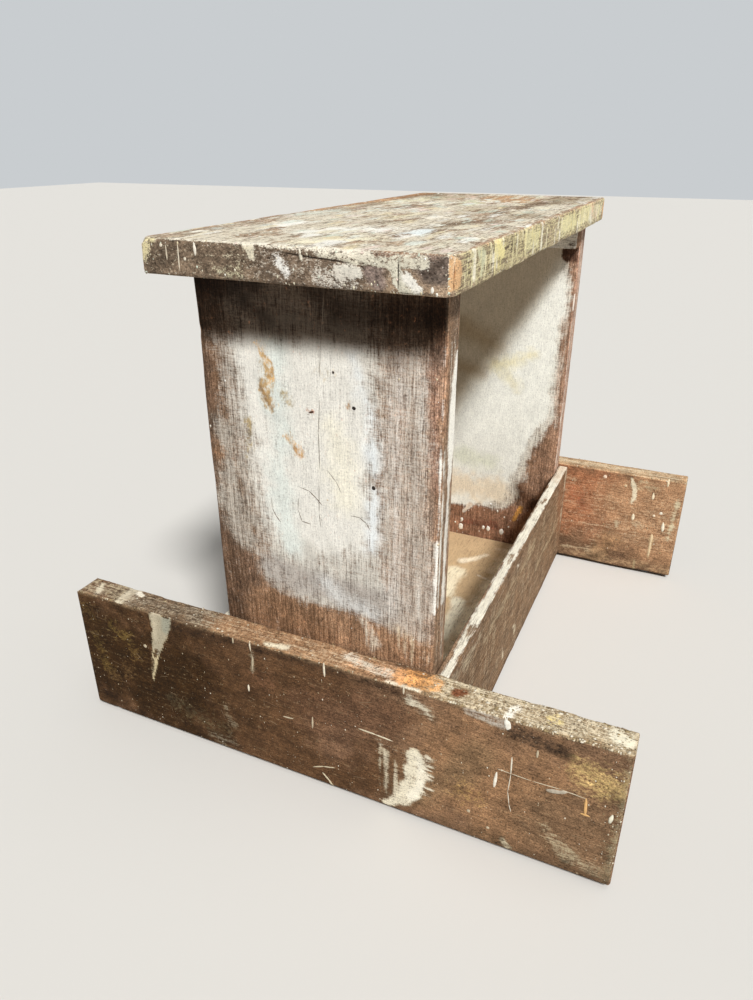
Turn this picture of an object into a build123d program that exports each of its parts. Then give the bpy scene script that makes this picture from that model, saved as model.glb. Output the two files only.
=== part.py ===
from build123d import *
import os

# Step stool of nailed boards. Millimetres, +Z up, X along the length of the top board.
# The origin is on the floor, under the middle of the stool. Left is -X and front is -Y.

# Overall sizes
stool_height = 466.0
top_length = 538.0
top_width = 229.0
top_shift = 2.0
foot_length = 514.0
foot_shift = -2.0

# Boards
top_thickness = 25.0
top_end_overhang = 32.0
panel_width = 198.0
panel_thickness = 25.0
foot_height = 136.0
foot_thickness = 27.0
rail_heights = {"front": 133.0, "back": 127.0}
rail_thickness = 12.5
shelf_thickness = 13.0
shelf_rise = 2.0
cleat_width = 25.0
cleat_drop = 25.0
left_cleat_setback = 12.0

# Worn corners of the top board, seen from above, and worn arrises
front_left_clip = 10.0
front_right_clip = 11.0
back_left_round = 3.0
back_right_round = 9.0
top_arris = 2.5
board_arris = 1.5
rail_top_arris = 4.0

# Round pads under the foot boards
pad_diameter = 17.0
pad_height = 4.0
pad_inset = 30.0

# Wire nails of the boards
nail_diameter = 3.4
nail_point = 4.0
nail_head_diameter = 7.0
nail_head_thickness = 1.2
nail_sink = 0.3

# Small nails of the pads
pad_nail_diameter = 2.0
pad_nail_head_diameter = 6.0
pad_nail_head_thickness = 0.8
pad_nail_sink = 1.0

# Room around a nail, and past its point
nail_clearance = 0.1
nail_point_room = 0.5

# How far each kind of nail bites into the piece behind the one that it holds on
top_nail_bite = 40.0
foot_nail_bite = 18.0
rail_nail_bite = 28.0
shelf_nail_bite = 28.0
cleat_nail_bite = 16.0
cleat_top_nail_bite = 15.0
pad_nail_bite = 12.0

# How far the nails stand in from the edges of the boards
top_nail_inset = 29.0
foot_nail_inset = 45.0
foot_nail_edge = 33.0
rail_nail_edge = 28.0
shelf_nail_inset = 70.0
shelf_end_nail_inset = 40.0
cleat_nail_inset = 62.0
cleat_top_nail_inset = 28.0

# Faces and levels that more than one piece shares
panel_outer = top_length / 2 - top_end_overhang
panel_middle = panel_outer - panel_thickness / 2
panel_inner = panel_outer - panel_thickness
panel_edge = panel_width / 2
foot_outer = panel_outer + foot_thickness
foot_middle = panel_outer + foot_thickness / 2
rail_outer = panel_edge + rail_thickness
cleat_inner = panel_inner - cleat_width
cleat_middle = panel_inner - cleat_width / 2
pad_centre = foot_length / 2 - pad_inset
board_base = pad_height
shelf_base = board_base + shelf_rise
shelf_level = shelf_base + shelf_thickness / 2
top_underside = stool_height - top_thickness
cleat_base = top_underside - cleat_drop
cleat_level = top_underside - cleat_drop / 2

# How far each kind of nail reaches in from the surface that its head is sunk in
top_nail_reach = top_thickness + top_nail_bite
foot_nail_reach = foot_thickness + foot_nail_bite
rail_nail_reach = rail_thickness + rail_nail_bite
shelf_nail_reach = rail_thickness + shelf_nail_bite
shelf_end_nail_reach = panel_thickness + shelf_nail_bite
cleat_nail_reach = cleat_width + cleat_nail_bite
cleat_top_nail_reach = cleat_drop + cleat_top_nail_bite

ends = {"left": -1, "right": 1}
sides = {"front": -1, "back": 1}
hung = (Align.CENTER, Align.CENTER, Align.MAX)


def facing(outward, points):
    """Planes on a board's surface, one for each nail head, looking out of the board."""
    return [Plane(origin=point, z_dir=outward) for point in points]


def nails(heads, reach):
    """A row of nails: a flat head sunk below each plane, a round shank and a blunt point."""
    shank = reach - nail_sink - nail_head_thickness - nail_point
    with BuildPart() as row:
        with Locations(*[head.offset(-nail_sink) for head in heads]):
            Cylinder(nail_head_diameter / 2, nail_head_thickness, align=hung)
        with Locations(*[head.offset(-nail_sink - nail_head_thickness) for head in heads]):
            Cylinder(nail_diameter / 2, shank, align=hung)
        with Locations(*[head.offset(nail_point - reach) for head in heads]):
            Cone(nail_diameter / 8, nail_diameter / 2, nail_point, align=hung)
    return row


def sink_heads(heads, reach):
    """Seats and holes in the board that the nails hold on."""
    with Locations(*heads):
        CounterBoreHole(
            nail_diameter / 2 + nail_clearance,
            nail_head_diameter / 2 + nail_clearance,
            nail_sink + nail_head_thickness,
            reach + nail_point_room,
        )


def bite_points(heads, reach):
    """Holes in the piece that the nails bite into."""
    with Locations(*heads):
        Hole(nail_diameter / 2 + nail_clearance, reach + nail_point_room)


# Places of the nail heads, in groups of like nails
top_nail_heads = {}
foot_nail_heads = {}
shelf_end_nail_heads = {}
cleat_nail_heads = {}
cleat_top_nail_heads = {}
for end, sign in ends.items():
    top_nail_heads[end] = facing(
        (0, 0, 1),
        [
            (sign * panel_middle, y, stool_height)
            for y in (top_nail_inset - panel_edge, 0, panel_edge - top_nail_inset)
        ],
    )
    foot_nail_heads[end] = facing(
        (sign, 0, 0),
        [
            (sign * foot_outer, y, z)
            for y in (foot_nail_inset - panel_edge, panel_edge - foot_nail_inset)
            for z in (board_base + foot_nail_edge, board_base + foot_height - foot_nail_edge)
        ],
    )
    shelf_end_nail_heads[end] = facing(
        (sign, 0, 0),
        [
            (sign * panel_outer, y, shelf_level)
            for y in (shelf_end_nail_inset - panel_edge, panel_edge - shelf_end_nail_inset)
        ],
    )
    cleat_nail_heads[end] = facing(
        (-sign, 0, 0),
        [
            (sign * cleat_inner, y, cleat_level)
            for y in (cleat_nail_inset - panel_edge, panel_edge - cleat_nail_inset)
        ],
    )
    cleat_top_nail_heads[end] = facing(
        (0, 0, -1),
        [
            (sign * cleat_middle, y, cleat_base)
            for y in (cleat_top_nail_inset - panel_edge, panel_edge - cleat_top_nail_inset)
        ],
    )
rail_nail_heads = {}
shelf_nail_heads = {}
for side, sign in sides.items():
    rail_nail_heads[side] = facing(
        (0, sign, 0),
        [
            (x, sign * rail_outer, z)
            for x in (-panel_middle, panel_middle)
            for z in (board_base + rail_nail_edge, board_base + rail_heights[side] - rail_nail_edge)
        ],
    )
    shelf_nail_heads[side] = facing(
        (0, sign, 0),
        [
            (x, sign * rail_outer, shelf_level)
            for x in (shelf_nail_inset - panel_inner, 0, panel_inner - shelf_nail_inset)
        ],
    )

os.makedirs("parts", exist_ok=True)

# Top board: one plank, clipped at the front corners and rounded at the back ones
with BuildPart() as top_board:
    with BuildSketch(Plane.XY.offset(top_underside)) as outline:
        with Locations((0, top_shift)):
            Rectangle(top_length, top_width)
        left, right = -top_length / 2, top_length / 2
        front, back = top_shift - top_width / 2, top_shift + top_width / 2
        chamfer(outline.vertices().sort_by_distance((left, front))[0], front_left_clip)
        chamfer(outline.vertices().sort_by_distance((right, front))[0], front_right_clip)
        fillet(outline.vertices().sort_by_distance((left, back))[0], back_left_round)
        fillet(outline.vertices().sort_by_distance((right, back))[0], back_right_round)
    extrude(amount=top_thickness)
    fillet(top_board.faces().sort_by(Axis.Z)[-1].edges(), top_arris)
    fillet(top_board.faces().sort_by(Axis.Z)[0].edges(), board_arris)
    for end in ends:
        sink_heads(top_nail_heads[end], top_nail_reach)
        bite_points(cleat_top_nail_heads[end], cleat_top_nail_reach)
top_board.part.label = "top_board"
export_step(top_board.part, "parts/top_board.step")

# End panels: upright boards that carry the top
for end, sign in ends.items():
    with BuildPart() as end_panel:
        with BuildSketch(Plane.XY.offset(board_base)):
            with Locations((sign * panel_middle, 0)):
                Rectangle(panel_thickness, panel_width)
        extrude(amount=top_underside - board_base)
        fillet(end_panel.edges().filter_by(Axis.Z), board_arris)
        sink_heads(shelf_end_nail_heads[end], shelf_end_nail_reach)
        bite_points(top_nail_heads[end], top_nail_reach)
        bite_points(foot_nail_heads[end], foot_nail_reach)
        bite_points(cleat_nail_heads[end], cleat_nail_reach)
        for side in sides:
            bite_points(rail_nail_heads[side], rail_nail_reach)
    end_panel.part.label = f"{end}_end_panel"
    export_step(end_panel.part, f"parts/{end}_end_panel.step")

# Bottom shelf: the floor of the tray, fitted between the panels and the rails
with BuildPart() as bottom_shelf:
    with BuildSketch(Plane.XY.offset(shelf_base)):
        Rectangle(2 * panel_inner, panel_width)
    extrude(amount=shelf_thickness)
    for end in ends:
        bite_points(shelf_end_nail_heads[end], shelf_end_nail_reach)
    for side in sides:
        bite_points(shelf_nail_heads[side], shelf_nail_reach)
bottom_shelf.part.label = "bottom_shelf"
export_step(bottom_shelf.part, "parts/bottom_shelf.step")

# Rails: thin boards on edge along both long sides, the back one lower, the outer top arris worn round
for side, sign in sides.items():
    with BuildPart() as rail:
        with BuildSketch(Plane.XY.offset(board_base)):
            with Locations((0, sign * (panel_edge + rail_thickness / 2))):
                Rectangle(2 * panel_outer, rail_thickness)
        extrude(amount=rail_heights[side])
        top_edges = rail.faces().sort_by(Axis.Z)[-1].edges().filter_by(Axis.X)
        fillet(top_edges.sort_by(lambda edge: sign * edge.center().Y)[-1], rail_top_arris)
        sink_heads(rail_nail_heads[side], rail_nail_reach)
        sink_heads(shelf_nail_heads[side], shelf_nail_reach)
    rail.part.label = f"{side}_rail"
    export_step(rail.part, f"parts/{side}_rail.step")

# Foot boards: long boards on edge across the outer faces of the panels, a little further out at the front
for end, sign in ends.items():
    with BuildPart() as foot_board:
        with BuildSketch(Plane.XY.offset(board_base)):
            with Locations((sign * foot_middle, foot_shift)):
                Rectangle(foot_thickness, foot_length)
        extrude(amount=foot_height)
        fillet(foot_board.edges(), board_arris)
        sink_heads(foot_nail_heads[end], foot_nail_reach)
        with Locations((sign * foot_middle, -pad_centre, 0), (sign * foot_middle, pad_centre, 0)):
            Cylinder(
                pad_nail_diameter / 2 + nail_clearance,
                2 * (pad_height + pad_nail_bite + nail_point_room),
                mode=Mode.SUBTRACT,
            )
    foot_board.part.label = f"{end}_foot_board"
    export_step(foot_board.part, f"parts/{end}_foot_board.step")

# Cleats: square battens in the corner between each panel and the top board, the left one cut shorter
cleat_lengths = {"left": panel_width - 2 * left_cleat_setback, "right": panel_width}
for end, sign in ends.items():
    with BuildPart() as cleat:
        with BuildSketch(Plane.XY.offset(cleat_base)):
            with Locations((sign * cleat_middle, 0)):
                Rectangle(cleat_width, cleat_lengths[end])
        extrude(amount=cleat_drop)
        lower_inner = cleat.edges().filter_by(Axis.Y).sort_by(Axis.Z)[:2]
        fillet(lower_inner.sort_by(lambda edge: sign * edge.center().X)[0], board_arris)
        sink_heads(cleat_nail_heads[end], cleat_nail_reach)
        sink_heads(cleat_top_nail_heads[end], cleat_top_nail_reach)
    cleat.part.label = f"{end}_cleat"
    export_step(cleat.part, f"parts/{end}_cleat.step")

# Pads: one under each end of each foot board, with a seat for its nail
for end, end_sign in ends.items():
    for side, side_sign in sides.items():
        with BuildPart() as pad:
            with BuildSketch():
                with Locations((end_sign * foot_middle, side_sign * pad_centre)):
                    Circle(pad_diameter / 2)
                    Circle(pad_nail_diameter / 2 + nail_clearance, mode=Mode.SUBTRACT)
            extrude(amount=pad_height)
            with BuildSketch():
                with Locations((end_sign * foot_middle, side_sign * pad_centre)):
                    Circle(pad_nail_head_diameter / 2 + nail_clearance)
            extrude(amount=pad_nail_sink + pad_nail_head_thickness, mode=Mode.SUBTRACT)
        pad.part.label = f"{end}_{side}_pad"
        export_step(pad.part, f"parts/{end}_{side}_pad.step")

# Pad nails: one in the middle of each pad, driven up into the foot board
with BuildPart() as pad_nails:
    pad_centres = [
        (end_sign * foot_middle, side_sign * pad_centre)
        for end_sign in ends.values()
        for side_sign in sides.values()
    ]
    with BuildSketch(Plane.XY.offset(pad_nail_sink)):
        with Locations(*pad_centres):
            Circle(pad_nail_head_diameter / 2)
    extrude(amount=pad_nail_head_thickness)
    with BuildSketch(Plane.XY.offset(pad_nail_sink + pad_nail_head_thickness)):
        with Locations(*pad_centres):
            Circle(pad_nail_diameter / 2)
    extrude(amount=pad_height + pad_nail_bite - pad_nail_sink - pad_nail_head_thickness)
pad_nails.part.label = "pad_nails"
export_step(pad_nails.part, "parts/pad_nails.step")

# Nails of the boards, one node for each group of like nails
nail_groups = {}
for end in ends:
    nail_groups[f"{end}_top_nails"] = nails(top_nail_heads[end], top_nail_reach)
    nail_groups[f"{end}_foot_nails"] = nails(foot_nail_heads[end], foot_nail_reach)
    nail_groups[f"{end}_shelf_nails"] = nails(shelf_end_nail_heads[end], shelf_end_nail_reach)
    nail_groups[f"{end}_cleat_nails"] = nails(cleat_nail_heads[end], cleat_nail_reach)
    nail_groups[f"{end}_cleat_top_nails"] = nails(cleat_top_nail_heads[end], cleat_top_nail_reach)
for side in sides:
    nail_groups[f"{side}_rail_nails"] = nails(rail_nail_heads[side], rail_nail_reach)
    nail_groups[f"{side}_shelf_nails"] = nails(shelf_nail_heads[side], shelf_nail_reach)
for name, group in nail_groups.items():
    group.part.label = name
    export_step(group.part, f"parts/{name}.step")
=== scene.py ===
import itertools
import math

import bmesh
import bpy
import numpy as np
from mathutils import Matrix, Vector, kdtree


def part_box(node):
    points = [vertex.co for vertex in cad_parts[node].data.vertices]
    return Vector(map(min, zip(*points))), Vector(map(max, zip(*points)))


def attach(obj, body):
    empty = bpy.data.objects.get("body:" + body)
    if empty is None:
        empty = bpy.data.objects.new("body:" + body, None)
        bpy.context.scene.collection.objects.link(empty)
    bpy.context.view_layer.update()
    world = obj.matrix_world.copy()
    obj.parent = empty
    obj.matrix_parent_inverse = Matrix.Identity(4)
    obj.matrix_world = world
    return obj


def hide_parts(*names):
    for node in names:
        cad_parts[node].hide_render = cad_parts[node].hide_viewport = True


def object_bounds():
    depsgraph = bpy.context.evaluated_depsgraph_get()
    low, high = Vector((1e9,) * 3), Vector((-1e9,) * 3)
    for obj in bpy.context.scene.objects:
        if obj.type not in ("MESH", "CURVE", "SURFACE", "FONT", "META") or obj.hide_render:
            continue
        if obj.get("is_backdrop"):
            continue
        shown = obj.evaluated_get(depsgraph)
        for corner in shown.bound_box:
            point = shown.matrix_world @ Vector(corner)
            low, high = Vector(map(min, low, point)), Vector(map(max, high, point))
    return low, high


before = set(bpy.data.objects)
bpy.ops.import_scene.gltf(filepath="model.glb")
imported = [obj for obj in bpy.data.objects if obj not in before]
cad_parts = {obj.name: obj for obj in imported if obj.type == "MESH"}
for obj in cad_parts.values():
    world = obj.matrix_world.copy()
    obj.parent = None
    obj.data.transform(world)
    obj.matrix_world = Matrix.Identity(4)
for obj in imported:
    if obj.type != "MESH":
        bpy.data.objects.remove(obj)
cad_low, cad_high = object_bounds()
scene = bpy.context.scene


# End panels. Two upright pine boards that carry the top. They were brushed white and cream many times
# and have worn back to brown along their margins. The top, the foot boards and the rails are nailed
# to them, and nails through them hold the ends of the shelf.

def linear(hex_colour):
    """An sRGB hex colour as linear red, green, blue and alpha."""
    channels = [int(hex_colour[i:i + 2], 16) / 255 for i in (1, 3, 5)]
    return [c / 12.92 if c <= 0.04045 else ((c + 0.055) / 1.055) ** 2.4 for c in channels] + [1.0]


def new_finish(name):
    """A new material, with its node tree and the shader in it."""
    finish = bpy.data.materials.new(name)
    finish.use_nodes = True
    return finish, finish.node_tree, finish.node_tree.nodes["Principled BSDF"]


def result(node):
    """The output of a node that is in use."""
    return next(socket for socket in node.outputs if socket.enabled)


def add(tree, kind, settings, inputs):
    """Adds a node with its settings, and sets or links its inputs, by name or by number."""
    made = tree.nodes.new("ShaderNode" + kind)
    for name, value in settings.items():
        setattr(made, name, value)
    for key, value in inputs.items():
        if isinstance(key, int):
            socket = made.inputs[key]
        else:
            socket = next(s for s in made.inputs if s.enabled and s.name == key)
        if isinstance(value, bpy.types.Node):
            value = result(value)
        if isinstance(value, bpy.types.NodeSocket):
            tree.links.new(value, socket)
        else:
            socket.default_value = value
    return made


def placed(name, bm):
    """A new object in the scene with the mesh of a bmesh, which is freed."""
    mesh = bpy.data.meshes.new(name)
    bm.to_mesh(mesh)
    bm.free()
    made = bpy.data.objects.new(name, mesh)
    scene.collection.objects.link(made)
    return made


def bearing(way):
    """The axis and the sign of a way such as -X."""
    return "XYZ".index(way[1]), 1 if way[0] == "+" else -1


def waver(points, size, seed):
    """Smooth random waviness from -1 to 1, with humps about size mm apart along each axis."""
    cells = 32
    lattice = np.random.default_rng(seed).uniform(-1, 1, (cells, cells, cells))
    place = points / np.array(size)
    cell = np.floor(place).astype(int)
    part = place - cell
    part = part * part * (3 - 2 * part)
    total = np.zeros(len(points))
    for corner in itertools.product((0, 1), repeat=3):
        weight = np.prod(np.where(corner, part, 1 - part), axis=1)
        i, j, k = ((cell + corner) % cells).T
        total += weight * lattice[i, j, k]
    return total


def stroke(u, v, path):
    """How far inside a brush stroke each place lies, in mm, and negative outside it.
    The path is a list of (u, v, half width); one point alone is a round blot."""
    best = np.full(len(u), -1e3)
    for (u0, v0, r0), (u1, v1, r1) in zip(path, path[1:] or path):
        du, dv = u1 - u0, v1 - v0
        along = np.clip(((u - u0) * du + (v - v0) * dv) / max(du * du + dv * dv, 1e-9), 0, 1)
        away = np.hypot(u - u0 - along * du, v - v0 - along * dv)
        best = np.maximum(best, r0 + (r1 - r0) * along - away)
    return best


nail_points = []
for name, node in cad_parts.items():
    if name.endswith("_nails"):
        nail_points += [vertex.co * 1000 for vertex in node.data.vertices]
nail_tree = kdtree.KDTree(len(nail_points))
for index, place in enumerate(nail_points):
    nail_tree.insert(place, index)
nail_tree.balance()


class Board:
    """One old board: a closed grid of quads in a node's box, with uneven worn arrises. Its points
    carry the colours of the wood, of the paint and of the stains, and how much paint is left."""

    def __init__(self, name, node, grain, pitch, arris, wood, seed, nails_show=False):
        self.low, self.high = (np.array(corner) * 1000 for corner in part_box(node))
        self.node, self.grain, self.pitch, self.seed = node, "XYZ".index(grain), pitch, seed

        # Lines of the grid, close together by the arrises and a pitch apart between them
        near_arris = np.array([0.0, 0.5, 1.2, 2.1, 3.3, 4.8])
        arris_band = 6.5
        lines = []
        for low, high in zip(self.low, self.high):
            first, last = low + arris_band, high - arris_band
            middle = np.linspace(first, last, max(2, round((last - first) / pitch)))
            if last - first < pitch:
                middle = np.array([(low + high) / 2])
            lines.append(np.concatenate([low + near_arris, middle, (high - near_arris)[::-1]]))
        bm = bmesh.new()
        bmesh.ops.create_cube(bm, size=1.0)
        for axis in range(3):
            uncut = [e for e in bm.edges if abs(e.verts[0].co[axis] - e.verts[1].co[axis]) > 0.5]
            bmesh.ops.subdivide_edges(bm, edges=uncut, cuts=len(lines[axis]) - 2, use_grid_fill=True)
        self.object = placed(name, bm)
        mesh = self.object.data
        mesh.shade_smooth()
        even = np.empty(len(mesh.vertices) * 3, np.float32)
        mesh.vertices.foreach_get("co", even)
        even = even.reshape(-1, 3)
        points = np.empty(even.shape)
        for axis in range(3):
            steps = np.linspace(-0.5, 0.5, len(lines[axis]))
            points[:, axis] = np.interp(even[:, axis], steps, lines[axis])

        # Arrises that are rounded unevenly and chipped, and shallow hollows in the faces
        chips = np.clip(waver(points, 12.0, seed + 1) - 0.35, 0, 1)
        radius = (arris * (1 + 0.4 * waver(points, 34.0, seed) + 1.6 * chips))[:, None]
        core = np.clip(points, self.low + radius, self.high - radius)
        self.outward = points - core
        self.outward /= np.linalg.norm(self.outward, axis=1)[:, None]
        points = core + self.outward * radius
        hollows = 0.24 * (1 + waver(points, 48.0, seed + 2)) + 0.08 * (1 + waver(points, 8.0, seed + 3))

        # Nail heads lie 0.3 mm down: the face dips past those that show and stays above the rest
        shown_rim, hidden_rim, search = 3.7, 3.8, 6
        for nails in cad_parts:
            if nails.endswith("_nails"):
                low, high = (np.array(corner) * 1000 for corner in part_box(nails))
                near = np.all((points > low - search) & (points < high + search), axis=1)
                for i in np.nonzero(near)[0]:
                    away = nail_tree.find(points[i])[2]
                    if nails_show and away < shown_rim:
                        hollows[i] = 0.45
                    elif not nails_show:
                        hollows[i] = min(hollows[i], 0.08 + 0.12 * max(0.0, away - hidden_rim))
        self.points = points - self.outward * hollows[:, None]
        count = len(points)
        self.wood = np.tile(linear(wood)[:3], (count, 1))
        self.paint = np.tile(linear("#e6e1d4")[:3], (count, 1))
        self.coat = np.zeros(count)
        self.dirt = np.tile([0.2, 0.15, 0.1, 0.0], (count, 1))
        self.ragged = 0.75 * waver(points, 23.0, seed + 4) + 0.5 * waver(points, 9.0, seed + 5)
        self.ragged += 0.35 * waver(points, 4.0, seed + 6)

    def face(self, way):
        """Which points lie on the face that looks a way such as -X, how squarely, and their place on it."""
        axis, sign = bearing(way)
        facing = np.clip(2.5 * sign * self.outward[:, axis] - 0.75, 0, 1)
        here = np.nonzero(facing > 0)[0]
        u, v = np.delete(self.points[here], axis, axis=1).T
        return here, facing[here], u, v

    def brush(self, way, marks, flip=1):
        """Works marks into one face. Each is (kind, colour, strength, soft edge, path), in mm across
        and up the face, mirrored where flip is -1. Wood tints the board, and paint, dry and run lay
        paint on it, dry in streaks across and run in streaks upwards. Wear takes paint off, a stain
        lies over all, and a darkening mark darkens wood and paint alike: real grime in some places,
        painted shade in others."""
        here, facing, u, v = self.face(way)
        flat = np.stack([u, v, np.zeros(len(u))], 1)
        streaks = {"dry": (16.0, 2.0, 1.0), "run": (2.2, 40.0, 1.0)}
        for kind, colour, strength, soft, path in marks:
            inside = stroke(flip * u, v, path) + soft * self.ragged[here] * (0.2 if kind == "soot" else 1.0)
            reach = np.clip(inside / (2 * soft) + 0.5, 0, 1)
            reach = facing * reach * reach * (3 - 2 * reach)
            if kind in streaks:
                reach *= np.clip(0.55 + 1.2 * waver(flat, streaks[kind], self.seed + 7), 0, 1)
            amount = (strength * reach)[:, None]
            tint = np.array(linear(colour)[:3])
            if kind == "soot":
                self.wood[here] *= 1 - (1 - tint) * amount
                self.paint[here] *= 1 - (1 - tint) * amount
            if kind in ("wood", "wear"):
                self.wood[here] += (tint - self.wood[here]) * amount
            if kind == "wear":
                self.coat[here] *= 1 - amount[:, 0]
            elif kind == "stain":
                under = self.dirt[here, 3:] * (1 - amount)
                whole = under + amount
                mixed = (self.dirt[here, :3] * under + tint * amount) / np.maximum(whole, 1e-6)
                self.dirt[here] = np.hstack([np.where(whole > 1e-4, mixed, tint), whole])
            elif kind in ("paint", "dry", "run"):
                self.paint[here] += (tint - self.paint[here]) * reach[:, None]
                self.coat[here] = np.maximum(self.coat[here], amount[:, 0])

    def round_off(self, ways, size, shape="round"):
        """Rounds the edge where two faces meet, within size mm. As a clip it is cut straight instead,
        and so is a corner where three meet."""
        axes = [bearing(way)[0] for way in ways]
        signs = np.array([bearing(way)[1] for way in ways])
        start = np.where(signs > 0, self.high[axes], self.low[axes]) - signs * size
        past = (self.points[:, axes] - start) * signs
        here = np.nonzero(np.all(past > 0, axis=1))[0]
        past = past[here]
        if shape == "round":
            past *= np.minimum(1, size / np.linalg.norm(past, axis=1))[:, None]
        else:
            past -= np.maximum(past.mean(axis=1) - size * (1 - 1 / len(ways)), 0)[:, None]
        self.points[np.ix_(here, axes)] = start + past * signs

    def crack(self, way, path, depth, colour="#241a14"):
        """Opens a crack on one face: the grid slides sideways until one of its lines follows the
        path, and that line is sunk and darkened, less so towards its ends."""
        give_width, firm_edge = 14, 5
        here, facing, u, v = self.face(way)
        axes = [i for i in range(3) if i != bearing(way)[0]]
        upright = abs(path[-1][1] - path[0][1]) > abs(path[-1][0] - path[0][0])
        along, across = (v, u) if upright else (u, v)
        turns = sorted((place[1], place[0]) if upright else place for place in path)
        first, last = turns[0][0], turns[-1][0]
        line = np.interp(along, [t[0] for t in turns], [t[1] for t in turns])
        middle = np.mean([t[1] for t in turns])
        base = across[np.argmin(np.abs(across - middle) + 1000 * (facing < 0.9))]
        away = across - base
        edge = np.minimum(across - across.min(), across.max() - across)
        give = np.clip(1 - np.abs(away) / give_width, 0, 1) * np.clip(edge / firm_edge, 0, 1) * facing
        squeeze = -np.sign(away) * np.minimum(np.abs(away), self.pitch) * 0.7 * give
        self.points[here, axes[0] if upright else axes[1]] += (line - base) * give + squeeze
        on = (along >= first) & (along <= last) & (np.abs(away) < 0.4 * self.pitch)
        hit = here[on]
        fade = np.clip(np.minimum(along[on] - first, last - along[on]) / (0.25 * (last - first)), 0.1, 1)
        self.points[hit] -= self.outward[hit] * (depth * fade)[:, None]
        tint, shade = np.array(linear(colour)[:3]), fade[:, None]
        self.dirt[hit, :3] += (tint - self.dirt[hit, :3]) * shade
        self.dirt[hit, 3:] = np.maximum(self.dirt[hit, 3:], shade)

    def lay(self, finish, slot):
        """Writes the points and what they carry to the mesh, and hands the piece to the frame."""
        mesh = self.object.data
        mesh.vertices.foreach_set("co", (self.points / 1000).astype(np.float32).ravel())
        mesh.update()
        others = [i for i in range(3) if i != self.grain]
        others.sort(key=lambda i: self.low[i] - self.high[i])

        # Each board has its own part of the grain, and rings round a pith that lies below it
        shift, pith_sway, pith_depth, end_stretch = np.array([97.0, 61.0, 39.0]), 12, 38, 0.6
        place = self.points[:, [self.grain] + others] + self.seed * shift
        wide, thin = (self.points - (self.low + self.high) / 2)[:, others].T
        ring = np.hypot(wide - pith_sway * math.sin(self.seed), thin + pith_depth)
        ends = np.abs(self.outward[:, self.grain]) > 0.7
        place[ends, 1] *= end_stretch
        mesh.attributes.new("grain", "FLOAT_VECTOR", "POINT").data.foreach_set(
            "vector", place.astype(np.float32).ravel())
        solid = np.ones((len(place), 1))
        wood, paint = np.hstack([self.wood, solid]), np.hstack([self.paint, solid])
        for name, colours in (("wood", wood), ("paint", paint), ("dirt", self.dirt)):
            whole = np.clip(colours, 0, 1).astype(np.float32)
            mesh.attributes.new(name, "FLOAT_COLOR", "POINT").data.foreach_set("color", whole.ravel())
        for name, values in (("coat", self.coat), ("ring", ring)):
            mesh.attributes.new(name, "FLOAT", "POINT").data.foreach_set("value", values.astype(np.float32))
        mesh.materials.append(finish)
        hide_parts(self.node)
        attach(self.object, "root")


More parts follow.
